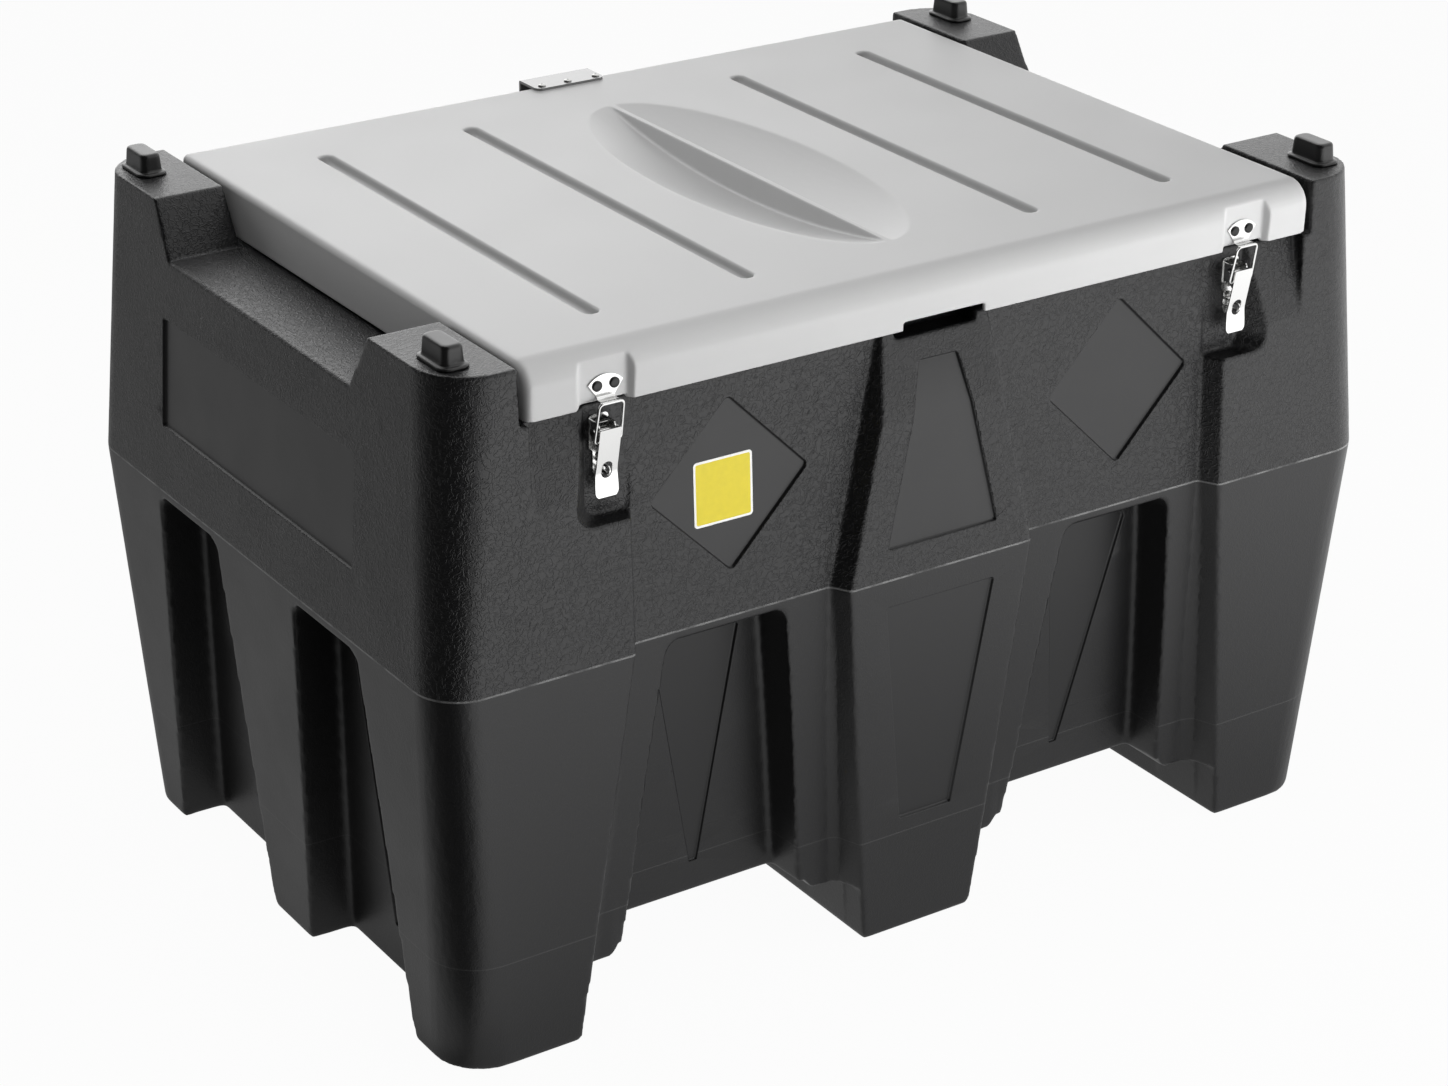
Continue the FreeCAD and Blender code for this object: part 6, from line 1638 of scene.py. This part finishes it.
@dataclass
class Filler:
    """Screw cap of the filler, with a moulded grip all round."""

    shelf: FinishShelf
    ring: RingTree
    middle: Point = (230.0, -40.0, 575.6)
    radius: float = 68.5
    height: float = 32.0
    bore: float = 59.8
    under: float = 27.0
    ribs: int = 48

    def build(self) -> None:
        """Builds the cap's shell, the ribs and the bar."""
        r, h = self.radius, self.height
        inside = [(0, self.under), (self.bore, self.under), (self.bore, 0.6), (self.bore + 0.6, 0)]
        outside = [(r - 0.8, 0), (r, 0.8), (r, h - 4.0), (r - 1.2, h - 1.2), (r - 4.0, h)]
        top_groove = [(r - 14.0, h), (r - 16.0, h - 1.5), (r - 20.0, h - 1.5), (r - 22.0, h), (0, h)]
        shell = turned([*inside, *outside, *top_groove], 96)
        bar = soft_box((104.0, 10.0, 12.0), h + 3.8, 2.6, 4)
        rib = bmesh.new()
        bmesh.ops.create_cone(rib, cap_ends=True, segments=10, radius1=1.7 * MM, radius2=1.7 * MM,
                              depth=(h - 6.0) * MM)
        bmesh.ops.translate(rib, vec=(0, 0, (h - 5.0) / 2 * MM), verts=rib.verts)
        ribs = self.ring.set_round(rib, "cap_ribs", self.ribs, r, (0.0, 2 * math.pi / self.ribs), Vector(),
                                   self.shelf["cap_plastic"])
        shell.from_mesh(to_mesh(bar, "bar"))
        shell.from_mesh(ribs)
        bmesh.ops.translate(shell, vec=Vector(self.middle) * MM, verts=shell.verts)
        mesh = creased(to_mesh(shell, "filler_cap_moulding"), 35.0)
        new_piece("filler_cap_moulding", mesh, "cap", ("cap_plastic",), self.shelf, ("filler_cap",))


@dataclass
class Dial:
    """Face of the level gauge with its ticks, under the lens."""

    shelf: FinishShelf
    ring: RingTree
    middle: Point = (40.0, -60.0, 574.0)
    radius: float = 29.6
    ticks: int = 9

    def build(self) -> None:
        """Builds the face and the ticks."""
        r = self.radius
        face = turned([(0, 0.02), (r, 0.02), (r, 0.35), (r - 0.3, 0.5), (0, 0.5)], 48)
        bmesh.ops.translate(face, vec=Vector(self.middle) * MM, verts=face.verts)
        new_piece("dial_face", creased(to_mesh(face, "dial_face"), 35.0), "tank", ("dial_face",), self.shelf)
        for name, count, length, radius in (("dial_ticks", self.ticks, 6.0, 23.0),
                                            ("dial_small_ticks", 4 * (self.ticks - 1) + 1, 3.0, 24.5)):
            tick = soft_box((length, 0.9, 0.16), 0.0, 0.05, 1)
            ticks = self.ring.set_round(tick, name, count, radius, (-math.pi, math.pi / (count - 1)),
                                        Vector(self.middle) + Vector((0, 0, 0.52)), self.shelf["dial_ink"])
            new_piece(name, ticks, "tank", ("dial_ink",), self.shelf)


@dataclass
class Fittings:
    """The CAD pieces that keep their shape and get their finish."""

    shelf: FinishShelf

    def build(self) -> None:
        """Gives each CAD node the material of its slot."""
        for part in frame["record"]["subparts"]:
            node = frame["nodes"][part["node"]]
            for place in node.material_slots:
                place.material = self.shelf[part["material_slot"]]
        LOG.info("fittings: %d nodes dressed", len(frame["nodes"]))


@dataclass
class Studio:
    """Floor, lamps, world and camera of the photograph."""

    world_stops: tuple[Pair, ...] = ((-180.0, 0.02), (-94.0, 0.02), (-70.0, 0.42), (-20.0, 0.45), (30.0, 0.6),
                                     (50.0, 0.72), (68.0, 1.0), (88.0, 1.0), (112.0, 0.12), (150.0, 0.02))
    glare: float = 2.8
    eye_mm: Point = (-1964.04, -2935.43, 1962.99)
    yaw_deg: float = -33.67344
    pitch_deg: float = -25.02347
    roll_deg: float = 0.28501
    focal_px: float = 3394.54
    image_px: float = 1448.0
    ambient: float = 0.12
    lamps: dict[str, tuple[Point, Point, Pair, float]] = field(default_factory=lambda: {
        "right_box": ((3.0, -2.2, 0.85), (0.2, -0.2, 0.4), (2.0, 1.6), 62.0),
        "front_box": ((1.4, -3.0, 0.3), (0.0, -0.4, 0.6), (1.8, 0.9), 76.0),
        "left_box": ((-2.6, 2.4, 1.3), (-0.4, 0.0, 0.4), (1.6, 1.6), 13.0),
        "top_box": ((-0.5, -0.05, 2.1), (-0.4, 0.0, 0.75), (1.1, 1.1), 11.0),
    })

    def camera(self) -> None:
        """Stands the camera where the photograph was taken."""
        yaw, pitch, roll = (math.radians(a) for a in (self.yaw_deg, self.pitch_deg, self.roll_deg))
        ahead = Vector((-math.sin(yaw) * math.cos(pitch), math.cos(yaw) * math.cos(pitch), math.sin(pitch)))
        level = Vector((math.cos(yaw), math.sin(yaw), 0.0))
        above = level.cross(ahead)
        right = level * math.cos(roll) + above * math.sin(roll)
        up = above * math.cos(roll) - level * math.sin(roll)
        turn = Matrix((right, up, -ahead)).transposed().to_4x4()
        data = bpy.data.cameras.new("photo_view")
        data.sensor_width, data.sensor_fit = 36.0, "HORIZONTAL"
        data.lens = self.focal_px * data.sensor_width / self.image_px
        data.clip_end = 100.0
        camera = bpy.data.objects.new("photo_view", data)
        camera.matrix_world = Matrix.Translation(Vector(self.eye_mm) * MM) @ turn
        bpy.context.scene.collection.objects.link(camera)
        bpy.context.scene.camera = camera

    def lamp(self, name: str, place: Point, aim: Point, size: Pair, watts: float) -> None:
        """Hangs one soft box.

        Args:
            name: The lamp's name.
            place: Where it hangs, in metres.
            aim: The point that it faces.
            size: Its width and height.
            watts: Its power.
        """
        data = bpy.data.lights.new(name, "AREA")
        data.shape, data.size, data.size_y = "RECTANGLE", size[0], size[1]
        data.energy = watts
        lamp = bpy.data.objects.new(name, data)
        # The bright world and floor stand for the boxes in reflections
        lamp.visible_glossy = False
        turn = (Vector(aim) - Vector(place)).to_track_quat("-Z", "Y")
        lamp.matrix_world = Matrix.Translation(Vector(place)) @ turn.to_matrix().to_4x4()
        bpy.context.scene.collection.objects.link(lamp)

    def world(self) -> None:
        """Makes a world that is white to the eye, bright or dim by direction to mirrors, and a dim light."""
        world = bpy.data.worlds.new("studio")
        bpy.context.scene.world = world
        world.use_nodes = True
        tree = world.node_tree
        tree.nodes.clear()
        add = partial(add_node, tree)
        seen, clear = lines_of_sight(tree)
        ring = round_about(tree, add("ShaderNodeTexCoord").outputs["Generated"], self.world_stops)
        bright = add("ShaderNodeMath", {0: ring, 1: self.glare}, operation="MULTIPLY").outputs[0]
        mirror = add("ShaderNodeMath", {0: clear, 1: bright}, operation="MULTIPLY").outputs[0]
        plain = add("ShaderNodeMath", {0: clear, 1: -self.ambient, 2: self.ambient},
                    operation="MULTIPLY_ADD").outputs[0]
        light = add("ShaderNodeMath", {0: plain, 1: mirror}, operation="ADD").outputs[0]
        strength = add("ShaderNodeMath", {0: light, 1: seen}, operation="MAXIMUM").outputs[0]
        back = add("ShaderNodeBackground", {"Color": linear("#ffffff"), "Strength": strength})
        add("ShaderNodeOutputWorld", {"Surface": back.outputs[0]})

    def build(self) -> None:
        """Sets up the studio."""
        self.camera()
        self.world()
        for name, (place, aim, size, watts) in self.lamps.items():
            self.lamp(name, place, aim, size, watts)
        shape = bmesh.new()
        bmesh.ops.create_grid(shape, x_segments=1, y_segments=1, size=30.0)
        mesh = to_mesh(shape, "floor")
        mesh.materials.append(StudioFloor("studio_floor", "#f4f4f4", 0.9).material())
        floor = loose_object("floor", mesh)
        bpy.context.scene.view_settings.view_transform = "Standard"


def main() -> None:
    """Builds the studio and every sub-assembly."""
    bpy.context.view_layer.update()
    Studio().build()
    shelf = FinishShelf()
    Fittings(shelf).build()
    Tank(shelf).build()
    Lid(shelf).build()
    Buffers(shelf).build()
    BlankLabel(shelf).build()
    ring = RingTree()
    Fasteners(shelf, RepeatTree()).build()
    Latches(shelf, WireTree()).build()
    Filler(shelf, ring).build()
    Dial(shelf, ring).build()


if __name__ == "__main__":
    logging.basicConfig(level=logging.INFO, format="%(name)s: %(message)s")
    main()
